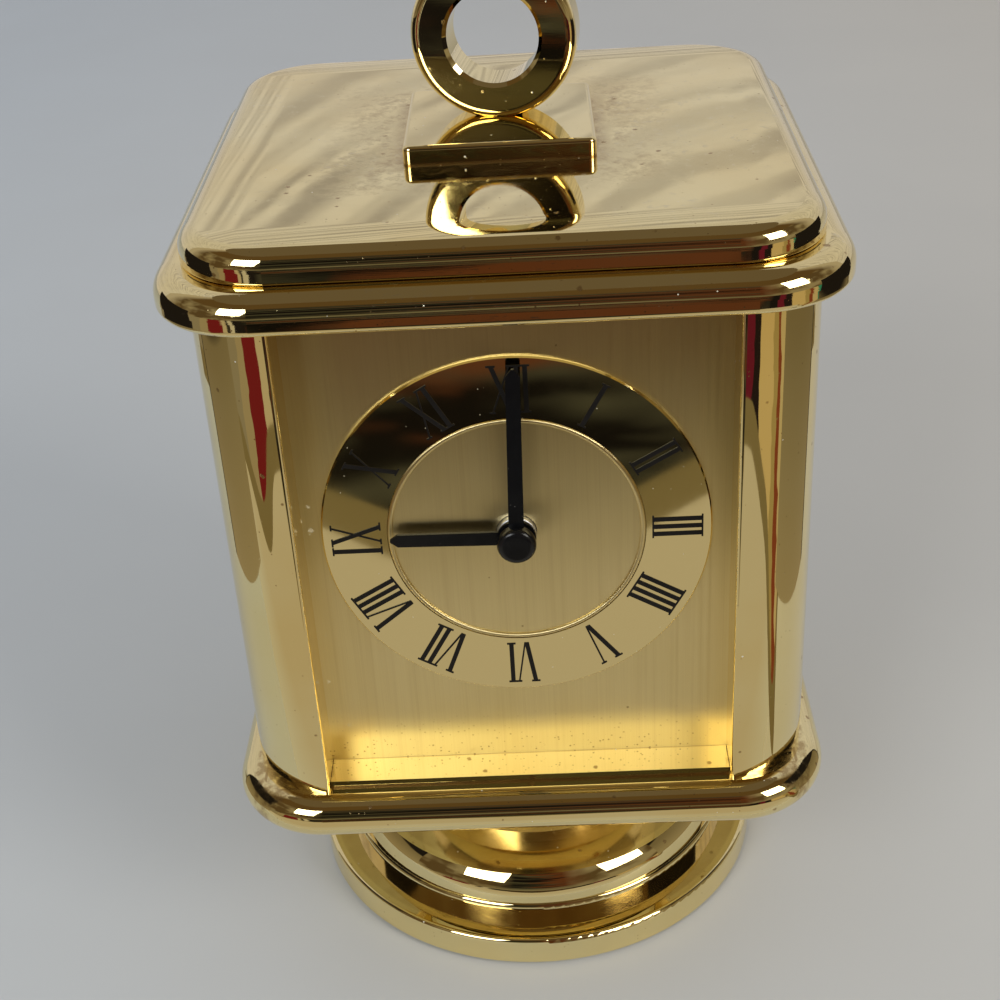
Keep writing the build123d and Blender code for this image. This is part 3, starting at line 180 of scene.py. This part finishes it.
def polished(name, waves=0.072, grain=(0.35, 0.35, 7.0), spotting=0.10, haze=0.0, seed=0.0, stain=None,
             marks=0.00035, scuffs=0.0, roll=None, dulled=0.22):
    """Polished gilt brass: gentle waves in the sheet, smudges, hairlines, brown spots, scuffs and lime
    specks. Waves and marks are depths in millimetres, grain is the hairlines' cells to the millimetre,
    spotting the share of cells with a spot, haze what is added to the roughness everywhere, and dulled
    what a full stain adds to it."""
    b = Bench(name)
    shift = (seed, seed * 0.7, seed * 1.3)
    cloud = b.noise(0.05, 3.0, 0.55, shift)
    smudge = b.noise(0.16, 5.0, 0.6, shift)
    colour = b.mix(cloud.ramp(0.35, 0.7), gold, gold_warm)
    brown = b.spots(0.45, 0.22, spotting, shift)
    fine = b.spots(1.6, 0.2, spotting, shift)
    white = b.spots(0.9, 0.13, spotting * 0.5, shift)
    dark = brown.larger(fine)
    rough = smudge.ramp(0.35, 0.75, 0.018 + haze, 0.06 + haze) + 0.22 * dark + 0.4 * white
    # Stains darken the colour towards the tarnish brown; some of them are painted shade, in the plinth's
    # joint, on the foot's treads and round the columns' feet.
    if stain is not None:
        stain_and_shade = stain(b)
        rough = rough + dulled * stain_and_shade
        dark = dark.larger(stain_and_shade)
    colour = b.mix(dark * 0.75, colour, tarnish_and_shade)
    colour = b.mix(white, colour, lime)
    if scuffs > 0.0:
        scratches = b.noise((0.7, 0.7, 2.4), 5.0, 0.75, shift).ramp(0.56, 0.72)
        worn = scratches * b.noise(0.06, 2.0, 0.5, shift).ramp(0.42, 0.6)
        colour = b.mix(worn * scuffs, colour, lime)
        rough = rough + 0.35 * scuffs * worn
    wave = b.bump(b.noise(0.045, 1.5, 0.45, shift), waves)
    if roll is not None:
        wave = b.bump(roll(b), 0.45, wave)
    hair = b.bump(b.noise(grain, 2.0, 0.6, shift), marks, wave)
    tilt = b.bump(dark + 2.0 * white, 0.003, hair)
    return b.finish(Base_Color=colour, Metallic=1.0 - 0.85 * white, Roughness=rough, Normal=tilt)


def outside(b, low, high):
    """How far a point lies outside a box as seen from above, in millimetres, negative within it."""
    middle_x, middle_y = (low.x + high.x) / 2 / millimetre, (low.y + high.y) / 2 / millimetre
    half_x, half_y = (high.x - low.x) / 2 / millimetre, (high.y - low.y) / 2 / millimetre
    return (abs(b.along("X") - middle_x) - half_x).larger(abs(b.along("Y") - middle_y) - half_y)


def edge_roll(node, width):
    """Height of a plate's top that falls away smoothly over a strip of the given width along its edges."""
    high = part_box(node)[1]

    def height(b):
        across = abs(b.along("X")).ramp(high.x / millimetre - width, high.x / millimetre)
        deep = abs(b.along("Y")).ramp(high.y / millimetre - width, high.y / millimetre)
        return 1.0 - (across * across + deep * deep)
    return height


def tread_patina_and_shade(b):
    """Brown patina and painted shade on the foot's two treads and round the neck's lower end."""
    wall, rim, low_tread_top, step, fade = 30.9, 33.9, 7.2, 27.2, 0.4
    x, y, z = b.along("X"), b.along("Y"), b.along("Z")
    reach = (x * x + y * y).power(0.5)
    lower = reach.ramp(wall - fade, wall) * reach.ramp(rim + fade, rim)
    lower = lower * z.ramp(low_tread_top + fade, low_tread_top)
    upper = reach.ramp(step + fade, step) * z.ramp(20.0, 15.0)
    return lower.larger(upper) * b.noise(0.25, 4.0, 0.6).ramp(0.3, 0.7, 0.2, 0.45)


def plinth_joint_dirt_and_shade(b):
    """Dirt and painted shade in the joint between the plinth and the lid."""
    low_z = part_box("plinth")[0].z / millimetre
    return b.along("Z").ramp(low_z + 0.32, low_z + 0.12)


def plinth_stain(b):
    """Brown rim of old polish on the lid round the foot of the plinth."""
    reach = outside(b, *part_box("plinth"))
    near = reach.ramp(2.4, 0.1) * b.noise(0.5, 3.0, 0.6).ramp(0.3, 0.6, 0.3, 0.95)
    wide = reach.ramp(12.0, 0.0) * b.noise((0.5, 0.5, 1.0), 5.0, 0.75).ramp(0.46, 0.66, 0.0, 0.8)
    return near.larger(wide)


def floor_edge_grime_and_shade(b):
    """Grime at the foot of the raised floor's riser and along the foot of the plate, with painted shade
    round the columns' feet."""
    plate_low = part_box("dial_plate")[0]
    floor_z, plate_y = plate_low.z / millimetre, plate_low.y / millimetre
    square = abs(b.along("X")).larger(abs(b.along("Y")))
    height = b.along("Z")
    riser_foot = (height < floor_z - 0.75) * (height > floor_z - 1.2)
    riser = abs(square - raised_floor_edge).ramp(0.3, 0.12) * riser_foot
    joint = abs(b.along("Y") - plate_y).ramp(0.22, 0.05) * (height > floor_z - 0.02)
    # Painted shade round the columns' feet, patchy.
    feet = outside(b, *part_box("column_front_left")).ramp(0.5, 0.0)
    feet = feet.larger(outside(b, *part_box("column_front_right")).ramp(0.5, 0.0))
    patchy = b.noise(0.8, 3.0, 0.6).ramp(0.4, 0.6)
    return (0.9 * riser).larger(0.5 * joint).larger(0.8 * feet * patchy)


def brushed(name, seed=0.0):
    """Brass brushed upright: fine lines, a few longer ones, brown specks, more of them along the plate's
    foot, and crusts of lime by its left edge."""
    b = Bench(name)
    shift = (seed, 0.0, seed)
    lines = b.noise((7.0, 7.0, 0.05), 4.0, 0.65, shift)
    long_lines = b.noise((1.6, 1.6, 0.012), 3.0, 0.6, shift)
    cloud = b.noise(0.045, 3.0, 0.5, shift)
    brown = b.spots(0.5, 0.14, 0.06, shift)
    foot_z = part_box("dial_plate")[0].z / millimetre
    brown = brown.larger(b.spots(1.9, 0.34, 0.75, shift) * b.along("Z").ramp(foot_z + 8.0, foot_z + 1.0))
    crust = b.spots(0.55, 0.3, 0.5, shift) * b.along("X").ramp(-24.6, -25.6)
    colour = b.mix(cloud.ramp(0.35, 0.7), (0.90, 0.77, 0.42), (0.86, 0.72, 0.36))
    colour = b.mix((1.0 - lines.ramp(0.3, 0.6)) * 0.18, colour, (0.68, 0.52, 0.25))
    colour = b.mix(long_lines.ramp(0.52, 0.70) * 0.14, colour, (0.60, 0.45, 0.20))
    colour = b.mix(brown * 0.6, colour, tarnish_and_shade)
    colour = b.mix(crust * 0.5, colour, lime)
    rough = long_lines.ramp(0.3, 0.7, 0.34, 0.40) + 0.2 * brown
    coarse = b.bump(long_lines, 0.0016)
    tilt = b.bump(lines, 0.0014, coarse)
    return b.finish(Base_Color=colour, Metallic=1.0 - 0.6 * crust, Roughness=rough, Anisotropic=0.93,
                    Normal=tilt)


def mirror(name):
    """Mirror-bright gilt ring of the dial with a trace of dust."""
    b = Bench(name)
    dust = b.spots(1.3, 0.10, 0.16)
    cloud = b.noise(0.12, 4.0, 0.6)
    colour = b.mix(dust * 0.6, gold, lime)
    rough = cloud.ramp(0.4, 0.8, 0.04, 0.08) + 0.4 * dust
    return b.finish(Base_Color=colour, Metallic=1.0 - 0.6 * dust, Roughness=rough,
                    Normal=b.bump(b.noise(0.05, 1.0, 0.4), 0.02))


def lacquer(name, colour, roughness, shine=0.25, depth=0.0006):
    """Thin paint with slight orange peel and a few dust grains."""
    b = Bench(name)
    dust = b.spots(1.8, 0.12, 0.10)
    peel = b.noise(1.2, 2.0, 0.5)
    shade = b.mix(b.noise(0.3, 3.0).ramp(0.3, 0.7) * 0.5, colour, tuple(c * 1.7 for c in colour))
    shade = b.mix(dust * 0.4, shade, (0.30, 0.28, 0.25))
    rough = b.noise(0.5).ramp(0.3, 0.7, roughness, roughness * 1.5) + 0.2 * dust
    return b.finish(Base_Color=shade, Roughness=rough, Specular_IOR_Level=shine, Normal=b.bump(peel, depth))


def plated(name, colour, roughness, scale=(4.0, 4.0, 4.0), depth=0.001):
    """Plain metal with fine tool marks and light stains."""
    b = Bench(name)
    stain = b.noise(0.25, 4.0, 0.6)
    shade = b.mix(stain.ramp(0.4, 0.75) * 0.6, colour, tuple(c * 0.72 for c in colour))
    marks = b.noise(scale, 3.0, 0.6)
    return b.finish(Base_Color=shade, Metallic=1.0, Normal=b.bump(marks, depth),
                    Roughness=stain.ramp(0.3, 0.7, roughness, roughness + 0.12))


def moulded(name, colour, roughness, grain=1.5, depth=0.004):
    """Moulded plastic with the fine grain of its tool and slight flow marks."""
    b = Bench(name)
    flow = b.noise((0.08, 0.08, 0.2), 3.0)
    skin = b.noise(grain, 3.0, 0.6)
    shade = b.mix(flow.ramp(0.3, 0.7) * 0.5, colour, tuple(c * 0.8 for c in colour))
    return b.finish(Base_Color=shade, Normal=b.bump(skin, depth),
                    Roughness=skin.ramp(0.3, 0.7, roughness - 0.06, roughness + 0.08))


def felt(name):
    """Wool felt: matted fibres in two sizes."""
    b = Bench(name)
    fibres = b.noise((2.2, 6.0, 4.0), 5.0, 0.75)
    mat = b.noise(0.35, 4.0, 0.7)
    shade = b.mix(fibres.ramp(0.3, 0.7), (0.012, 0.035, 0.022), (0.05, 0.11, 0.075))
    shade = b.mix(mat.ramp(0.45, 0.7) * 0.4, shade, (0.08, 0.14, 0.10))
    return b.finish(Base_Color=shade, Roughness=0.95, Sheen_Weight=0.4, Sheen_Roughness=0.6,
                    Normal=b.bump(fibres + 0.6 * mat, 0.12))


def windings(name):
    """Enamelled copper wire wound round the coil's axis, which lies along X."""
    b = Bench(name)
    bands = {"wave_type": "BANDS", "bands_direction": "X", "wave_profile": "SIN"}
    turns = b.node("ShaderNodeTexWave", bands, {
        "Vector": b.stretched((1.0, 1.0, 1.0)), "Scale": 2.6, "Distortion": 0.6, "Detail": 2.0}, 1)
    shade = b.mix(turns, (0.22, 0.07, 0.025), (0.72, 0.34, 0.16))
    return b.finish(Base_Color=shade, Metallic=0.9, Roughness=b.noise(1.0).ramp(0.3, 0.7, 0.25, 0.4),
                    Coat_Weight=0.5, Coat_Roughness=0.15, Normal=b.bump(turns, 0.05))


def circuit(name):
    """Green lacquered board with a few paler copper tracks under the lacquer."""
    b = Bench(name)
    x, z = b.along("X"), b.along("Z")
    bend = 0.5 * b.noise(0.12, 1.0)
    tracks = ((z * 0.8 + bend).fraction() > 0.72) * ((x * 0.11).fraction() > 0.18)
    shade = b.mix(tracks * 0.7, (0.02, 0.13, 0.05), (0.10, 0.33, 0.12))
    return b.finish(Base_Color=shade, Roughness=b.noise(0.6).ramp(0.3, 0.7, 0.22, 0.34), Coat_Weight=0.6,
                    Coat_Roughness=0.1, Normal=b.bump(tracks, 0.03))


def battery_jacket(name, low_x, high_x):
    """Cell with bare bright ends and a plain dark blue jacket with a pale band near one end."""
    b = Bench(name)
    x = b.along("X")
    sleeve = (x > low_x + 1.2) * (x < high_x - 2.6)
    band = (x > high_x - 13.0) * (x < high_x - 10.5)
    shade = b.mix(b.noise(0.5).ramp(0.3, 0.7), (0.015, 0.03, 0.09), (0.025, 0.045, 0.12))
    shade = b.mix(band, shade, (0.62, 0.62, 0.60))
    shade = b.mix(sleeve, (0.62, 0.61, 0.58), shade)
    return b.finish(Base_Color=shade, Metallic=1.0 - 0.75 * sleeve,
                    Roughness=b.noise(0.8).ramp(0.3, 0.7, 0.22, 0.32), Coat_Weight=0.4,
                    Normal=b.bump(sleeve + 0.2 * b.noise(1.5), 0.02))


def clear(name):
    """Thin clear pane with faint smears: see-through straight on, glossy at a slant."""
    b = Bench(name)
    smear = b.noise((0.07, 0.07, 0.2), 4.0, 0.6)
    slant = b.node("ShaderNodeLayerWeight", None, {"Blend": 0.35}, 1)
    tint = b.mix(smear.ramp(0.4, 0.7), (0.80, 0.84, 0.83), (0.74, 0.78, 0.77))
    return b.finish(Base_Color=tint, Roughness=smear.ramp(0.45, 0.8, 0.02, 0.06), Specular_IOR_Level=0.9,
                    Alpha=slant.ramp(0.0, 1.0, 0.14, 0.75), Normal=b.bump(smear, 0.002))


def card(name, colour, dark, roughness, depth):
    """Paper or board: fibres, faint mottling and a slightly rough face."""
    b = Bench(name)
    fibres = b.noise((1.5, 1.5, 5.0), 4.0, 0.7)
    mottle = b.noise(0.12, 4.0, 0.6)
    shade = b.mix(fibres.ramp(0.35, 0.7) * 0.6 + 0.3 * mottle, colour, dark)
    return b.finish(Base_Color=shade, Roughness=mottle.ramp(0.3, 0.7, roughness, roughness + 0.1),
                    Normal=b.bump(fibres, depth))


battery_low, battery_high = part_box("battery")
finishes = {
    "lid": polished("lid_brass", waves=0.024, spotting=0.16, seed=1.0, stain=plinth_stain, scuffs=0.25,
                    roll=edge_roll("lid", 8.0)),
    "top_frame": polished("top_frame_brass", spotting=0.16, seed=2.0, scuffs=0.6),
    # The base's stain is grime, with painted shade round the columns' feet.
    "base_moulding": polished("base_brass", spotting=0.30, seed=3.0, stain=floor_edge_grime_and_shade),
    "columns": polished("column_brass", grain=(2.5, 2.5, 0.05), seed=4.0, marks=0.0006),
    # The foot's and neck's stain is brown patina with painted shade on the treads.
    "foot": polished("foot_brass", waves=0.036, spotting=0.08, seed=5.0, stain=tread_patina_and_shade,
                     haze=-0.005, dulled=0.07),
    "neck": polished("neck_brass", waves=0.036, spotting=0.08, seed=8.0, stain=tread_patina_and_shade,
                     haze=0.12, dulled=0.07),
    "ring": polished("ring_brass", waves=0.036, spotting=0.10, seed=6.0),
    # The plinth's stain is dirt with painted shade in its joint with the lid.
    "plinth": polished("plinth_brass", waves=0.06, spotting=0.20, seed=7.0, stain=plinth_joint_dirt_and_shade),
    "brushed_brass": brushed("dial_plate_brass"),
    "centre": brushed("dial_centre_brass", seed=3.0),
    "mirror_brass": mirror("chapter_ring_brass"),
    "bush": plated("bush_metal", (0.66, 0.67, 0.70), 0.34),
    "black_paint": lacquer("numeral_black", (0.006, 0.005, 0.0045), 0.40),
    "black_hands": lacquer("hand_black", (0.004, 0.004, 0.0045), 0.16, shine=0.35),
    "nickel": plated("nickel", (0.62, 0.60, 0.56), 0.14),
    "steel": plated("turned_steel", (0.50, 0.49, 0.48), 0.26),
    "felt": felt("green_felt"),
    "nylon": moulded("nylon", (0.78, 0.76, 0.70), 0.45),
    "wheel_plastic": moulded("wheel_plastic", (0.78, 0.73, 0.58), 0.38),
    "movement_plastic": moulded("movement_plastic", (0.022, 0.022, 0.025), 0.45),
    "magnet": plated("magnet_plating", (0.34, 0.34, 0.36), 0.3),
    "copper": windings("coil_wire"),
    "board": circuit("circuit_board"),
    "battery_jacket": battery_jacket("cell_jacket", battery_low.x / millimetre,
                                     battery_high.x / millimetre),
    "clear_pane": clear("clear_pane"),
    "photo_paper": card("photo_card", (0.84, 0.82, 0.76), (0.70, 0.67, 0.60), 0.42, 0.004),
    "backing_card": card("grey_board", (0.42, 0.37, 0.30), (0.22, 0.19, 0.15), 0.85, 0.03),
}
own_finish = {
    "lid": "lid", "plinth": "plinth", "finger_ring": "ring", "top_frame": "top_frame",
    "base_moulding": "base_moulding", "foot_disc": "foot", "neck_sleeve": "neck", "dial_centre": "centre",
    "dial_bush": "bush",
}
slots = {part["node"]: part["material_slot"] for part in frame["record"]["subparts"]}
for name, piece in nodes.items():
    column = name.startswith("column_") and "screws" not in name
    key = own_finish.get(name, "columns" if column else slots.get(name))
    piece.data.materials.clear()
    piece.data.materials.append(finishes[key])


# Studio: a pale floor, two soft windows, and cards that only reflections see. Lengths are in metres.
clock_middle = 0.08
floor_radius = 3.0
surround_radius = 1.5
dark_floor_start = 0.245
fringe_width = 0.022
front_from, front_to = 62.0, 298.0  # degrees round the clock, from straight behind it
card_height = 0.0006
apron_height = 0.0004
board_height = 0.13
board_rear = 0.030


def sheet_mesh(name, points):
    """Mesh of a grid of points, given as an array of rows, columns and x, y, z."""
    rows, columns = points.shape[:2]
    index = np.arange(rows * columns).reshape(rows, columns)
    faces = np.stack([index[:-1, :-1], index[:-1, 1:], index[1:, 1:], index[1:, :-1]], -1).reshape(-1, 4)
    mesh = bpy.data.meshes.new(name)
    mesh.from_pydata(points.reshape(-1, 3).tolist(), [], faces.tolist())
    mesh.update()
    return mesh


def stage_piece(name, points, material, seen=False):
    """A piece of the studio. One that isn't seen shows in reflections alone and casts no shadow."""
    piece = bpy.data.objects.new(name, sheet_mesh(name, points))
    piece.data.materials.append(material)
    bpy.context.scene.collection.objects.link(piece)
    if not seen:
        piece.visible_camera = False
        piece.visible_diffuse = False
        piece.visible_shadow = False
        piece.visible_transmission = False


def ring_sheet(low_degrees, high_degrees, inner, outer, height=0.0):
    """Part of a flat ring round the vertical axis; 0 degrees looks away behind the object.
    Either radius may be a function of the angle."""
    angles = np.linspace(low_degrees, high_degrees, 237)
    share = np.linspace(0.0, 1.0, 5)[:, None]
    near = inner(angles) if callable(inner) else inner + 0.0 * angles
    far = outer(angles) if callable(outer) else outer + 0.0 * angles
    radius = near + (far - near) * share
    turn = np.radians(angles)
    return np.stack([radius * np.sin(turn), radius * np.cos(turn), height + 0.0 * radius], -1)


def level_sheet(low, high, height):
    """Flat rectangle between two corners seen from above."""
    x, y = np.meshgrid(np.linspace(low[0], high[0], 5), np.linspace(low[1], high[1], 5))
    return np.stack([x, y, height + 0.0 * x], -1)


def shell_sheet(low_degrees, high_degrees, low_rise, high_rise, radius):
    """Part of a sphere round the clock between two directions and two rises above the horizon, in
    degrees."""
    turn = np.radians(np.linspace(low_degrees, high_degrees, 97))
    rise = np.radians(np.linspace(low_rise, high_rise, 25))[:, None]
    flat = radius * np.cos(rise)
    height = clock_middle + radius * np.sin(rise) + 0.0 * turn
    return np.stack([flat * np.sin(turn), flat * np.cos(turn), height], -1)


def upright_board(start, end, height):
    """Board that stands on the floor between two places."""
    share = np.linspace(0.0, 1.0, 9)
    x = start[0] + (end[0] - start[0]) * share
    y = start[1] + (end[1] - start[1]) * share
    z = np.linspace(0.0, height, 9)[:, None]
    return np.stack([x + 0.0 * z, y + 0.0 * z, z + 0.0 * x], -1)


def floor_finish():
    """Pale satin floor, a little cooler on the left and warmer on the right, faintly cloudy."""
    b = Bench("pale_floor")
    cloud = b.noise(0.012, 3.0, 0.5)
    side = b.along("X").ramp(-220.0, 220.0)
    pale = b.mix(side, (0.58, 0.625, 0.67), (0.655, 0.62, 0.56))
    pale = b.mix(cloud.ramp(0.35, 0.7) * 0.12, pale, (0.47, 0.47, 0.47))
    return b.finish(Base_Color=pale, Roughness=0.45, Specular_IOR_Level=0.12)


def glow(b, colour):
    """Turns a bench into a card that glows with a colour, or with a wire's colours."""
    return b.finish(Base_Color=(0.0, 0.0, 0.0), Roughness=1.0, Specular_IOR_Level=0.0,
                    Emission_Color=colour, Emission_Strength=1.0)


def turn_from_front(b):
    """Angle round the clock from the middle of the front, in degrees: positive to the right."""
    x, y = b.along("X"), b.along("Y")
    return x.maths("ARCTAN2", x, -1.0 * y) * (180.0 / np.pi)


def front_shade(b, streaks):
    """What stands in front: black with grey-green and dark red patches, drawn out by the given cells."""
    grey = b.noise(streaks, 3.0, 0.55).ramp(0.46, 0.62)
    colour = b.mix(grey, (0.006, 0.005, 0.0045), (0.07, 0.068, 0.05))
    red = b.noise(streaks, 3.0, 0.55, (7.0, 3.0, 5.0))
    return b.mix((red + b.along("X") * 0.0004).ramp(0.50, 0.58), colour, (0.095, 0.034, 0.016))


def surround_shade():
    """Dark in front with long level streaks, patchy brown to the sides, dark above the windows, and pale
    further round."""
    b = Bench("surround_card")
    off = abs(turn_from_front(b))
    z = b.along("Z")
    patch = b.noise(0.0022, 2.0, 0.5).ramp(0.4, 0.62)
    mid = b.mix(patch, (0.09, 0.06, 0.03), (0.26, 0.22, 0.15))
    front = front_shade(b, (0.0006, 0.0006, 0.012))
    front = b.mix(z.ramp(60.0, 220.0), (0.16, 0.145, 0.10), front)
    colour = b.mix(off.ramp(14.0, 30.0), front, mid)
    colour = b.mix(z.ramp(1020.0, 1100.0), colour, (0.10, 0.062, 0.026))
    return glow(b, b.mix(off.ramp(92.0, 106.0), colour, (0.40, 0.36, 0.31)))


# Colours of the floor card by the angle from the middle of the front, in degrees, each up to the next
floor_bands = [
    (-82.0, (0.22, 0.19, 0.14)), (-60.0, (0.28, 0.23, 0.15)), (-52.0, (0.14, 0.012, 0.015)),
    (-38.0, (0.40, 0.34, 0.24)), (-33.0, (0.03, 0.025, 0.02)), (-30.0, (0.45, 0.42, 0.36)),
    (-26.0, (0.012, 0.01, 0.01)), (20.0, (0.010, 0.008, 0.008)), (28.0, (0.11, 0.010, 0.025)),
    (34.0, (0.015, 0.010, 0.010)), (40.0, (0.46, 0.35, 0.18)), (54.0, (0.30, 0.23, 0.10)),
    (59.0, (0.18, 0.045, 0.02)), (63.0, (0.42, 0.34, 0.20)), (68.0, (0.03, 0.20, 0.15)),
    (74.0, (0.36, 0.30, 0.20)), (80.0, (0.24, 0.21, 0.16)),
]


def floor_shade():
    """Dark floor in front, and to the sides bands of black, deep red, tan, teal and cream."""
    b = Bench("floor_card")
    turn = turn_from_front(b)
    ragged = turn + 9.0 * (b.noise(0.02, 3.0, 0.6) - 0.5)
    stops = [((angle + 100.0) / 200.0, colour) for angle, colour in floor_bands]
    bands = b.node("ShaderNodeValToRGB", {"stops": stops}, {0: ragged.ramp(-100.0, 100.0)})
    front = front_shade(b, (0.010, 0.028, 1.0))
    return glow(b, b.mix(abs(turn).ramp(16.0, 22.0), front, bands))


def apron_shade():
    """The floor just in front of the clock as its plate mirrors it: pale, then warmer further forward."""
    b = Bench("floor_apron")
    return glow(b, b.mix(b.along("Y").ramp(-60.0, -85.0), (0.48, 0.47, 0.44), (0.44, 0.395, 0.32)))


def near_edge(angles):
    """Distance at which the dark floor begins: nearer straight in front and at two places to the sides."""
    def dip(depth, centre, width):
        return depth * np.exp(-(((angles - centre) / width) ** 2))
    front = dip(0.093, 182.0, 20.0)
    sides = dip(0.10, 118.0, 7.0) + dip(0.05, 128.0, 14.0) + dip(0.05, 232.0, 12.0)
    return dark_floor_start - front - sides


def board_shade(name, dark_above):
    """Grey-brown board, darker higher up, black at its top and at its rear end."""
    b = Bench(name)
    y, z = b.along("Y"), b.along("Z")
    colour = b.mix(z.ramp(0.0, 60.0), (0.27, 0.225, 0.15), (0.16, 0.13, 0.08))
    colour = b.mix(z.ramp(dark_above, dark_above + 4.0), colour, (0.012, 0.010, 0.010))
    rear = board_rear / millimetre
    return glow(b, b.mix(y.ramp(rear - 4.0, rear - 2.5), colour, (0.02, 0.018, 0.015)))


def rear_shade():
    """Pale wall behind with soft slanting bands, which the flat tops mirror."""
    b = Bench("rear_card")
    wander = 90.0 * b.noise(0.0035, 1.5, 0.5)
    place = (b.along("Z") + 0.40 * b.along("X") + wander) * 0.045
    bands = b.node("ShaderNodeTexNoise", {"noise_dimensions": "1D"}, {
        "W": place, "Scale": 1.0, "Detail": 1.5, "Roughness": 0.5})
    strength = b.noise((0.003, 0.003, 0.006), 2.0, 0.5).ramp(0.35, 0.65, 0.35, 1.0)
    return glow(b, b.mix(bands.ramp(0.56, 0.40) * strength, (0.63, 0.61, 0.63), (0.34, 0.325, 0.345)))


stage_piece("floor", ring_sheet(0.0, 360.0, 0.0, floor_radius), floor_finish(), seen=True)
stage_piece("floor_card", ring_sheet(front_from, front_to, near_edge, surround_radius, card_height),
            floor_shade())
stage_piece("floor_apron", level_sheet((-0.26, -0.27), (0.26, -0.058), apron_height), apron_shade())
stage_piece("floor_fringe", ring_sheet(front_from, front_to, lambda angles: near_edge(angles) - fringe_width,
                                       near_edge, card_height),
            glow(Bench("floor_fringe"), (0.17, 0.135, 0.07)))
stage_piece("surround_card", shell_sheet(68.0, 292.0, -4.0, 60.0, surround_radius), surround_shade())
stage_piece("rear_card", shell_sheet(-67.9, 67.9, -2.0, 60.0, surround_radius), rear_shade())
stage_piece("ceiling_card", shell_sheet(0.0, 360.0, 60.0, 90.0, surround_radius),
            glow(Bench("ceiling_card"), (0.13, 0.10, 0.065)))
stage_piece("side_board_left", upright_board((-0.150, -0.072), (-0.142, board_rear), board_height),
            board_shade("board_left", 55.0))
stage_piece("side_board_right", upright_board((0.131, -0.066), (0.127, board_rear), board_height),
            board_shade("board_right", 66.0))


window_distance, window_width, window_height = 1.4, 0.56, 0.61
window_elevation = 29.2
window_radiance = 6.2


def window(name, azimuth, colour):
    """Soft rectangular window that faces the clock from an azimuth in degrees."""
    light = bpy.data.lights.new(name, "AREA")
    light.shape = "RECTANGLE"
    light.size = window_width
    light.size_y = window_height
    light.color = colour
    light.energy = window_radiance * np.pi * window_width * window_height
    piece = bpy.data.objects.new(name, light)
    a, e = radians(azimuth), radians(window_elevation)
    away = Vector((sin(a) * cos(e), cos(a) * cos(e), sin(e)))
    piece.location = Vector((0.0, 0.0, clock_middle)) + window_distance * away
    piece.rotation_euler = away.to_track_quat("Z", "Y").to_euler()
    bpy.context.scene.collection.objects.link(piece)


window("window_right", 130.0, (1.0, 0.97, 0.91))
window("window_left", 211.0, (0.95, 0.98, 1.0))

world = bpy.data.worlds.new("pale_surround")
world.use_nodes = True
background = world.node_tree.nodes["Background"]
background.inputs["Color"].default_value = (0.98, 0.99, 1.0, 1.0)
background.inputs["Strength"].default_value = 0.46
bpy.context.scene.world = world
bpy.context.scene.view_settings.view_transform = "Standard"

# Camera, placed and turned as the photograph shows the clock
yaw, pitch, roll = radians(2.1422), radians(31.009), radians(-3.5503)
camera_place = Vector((4.8227, -212.499, 189.7125)) * millimetre
focal_length_in_widths = 1.6325
ahead = Vector((-sin(yaw) * cos(pitch), cos(yaw) * cos(pitch), -sin(pitch)))
level = Vector((cos(yaw), sin(yaw), 0.0))
upward = level.cross(ahead)
right = level * cos(roll) + upward * sin(roll)
top = upward * cos(roll) - level * sin(roll)
lens = bpy.data.cameras.new("camera")
lens.sensor_width = 36.0
lens.lens = lens.sensor_width * focal_length_in_widths
lens.clip_start = 0.01
camera = bpy.data.objects.new("camera", lens)
turn = Matrix((right, top, -ahead)).transposed().to_4x4()
camera.matrix_world = Matrix.Translation(camera_place) @ turn
bpy.context.scene.collection.objects.link(camera)
bpy.context.scene.camera = camera
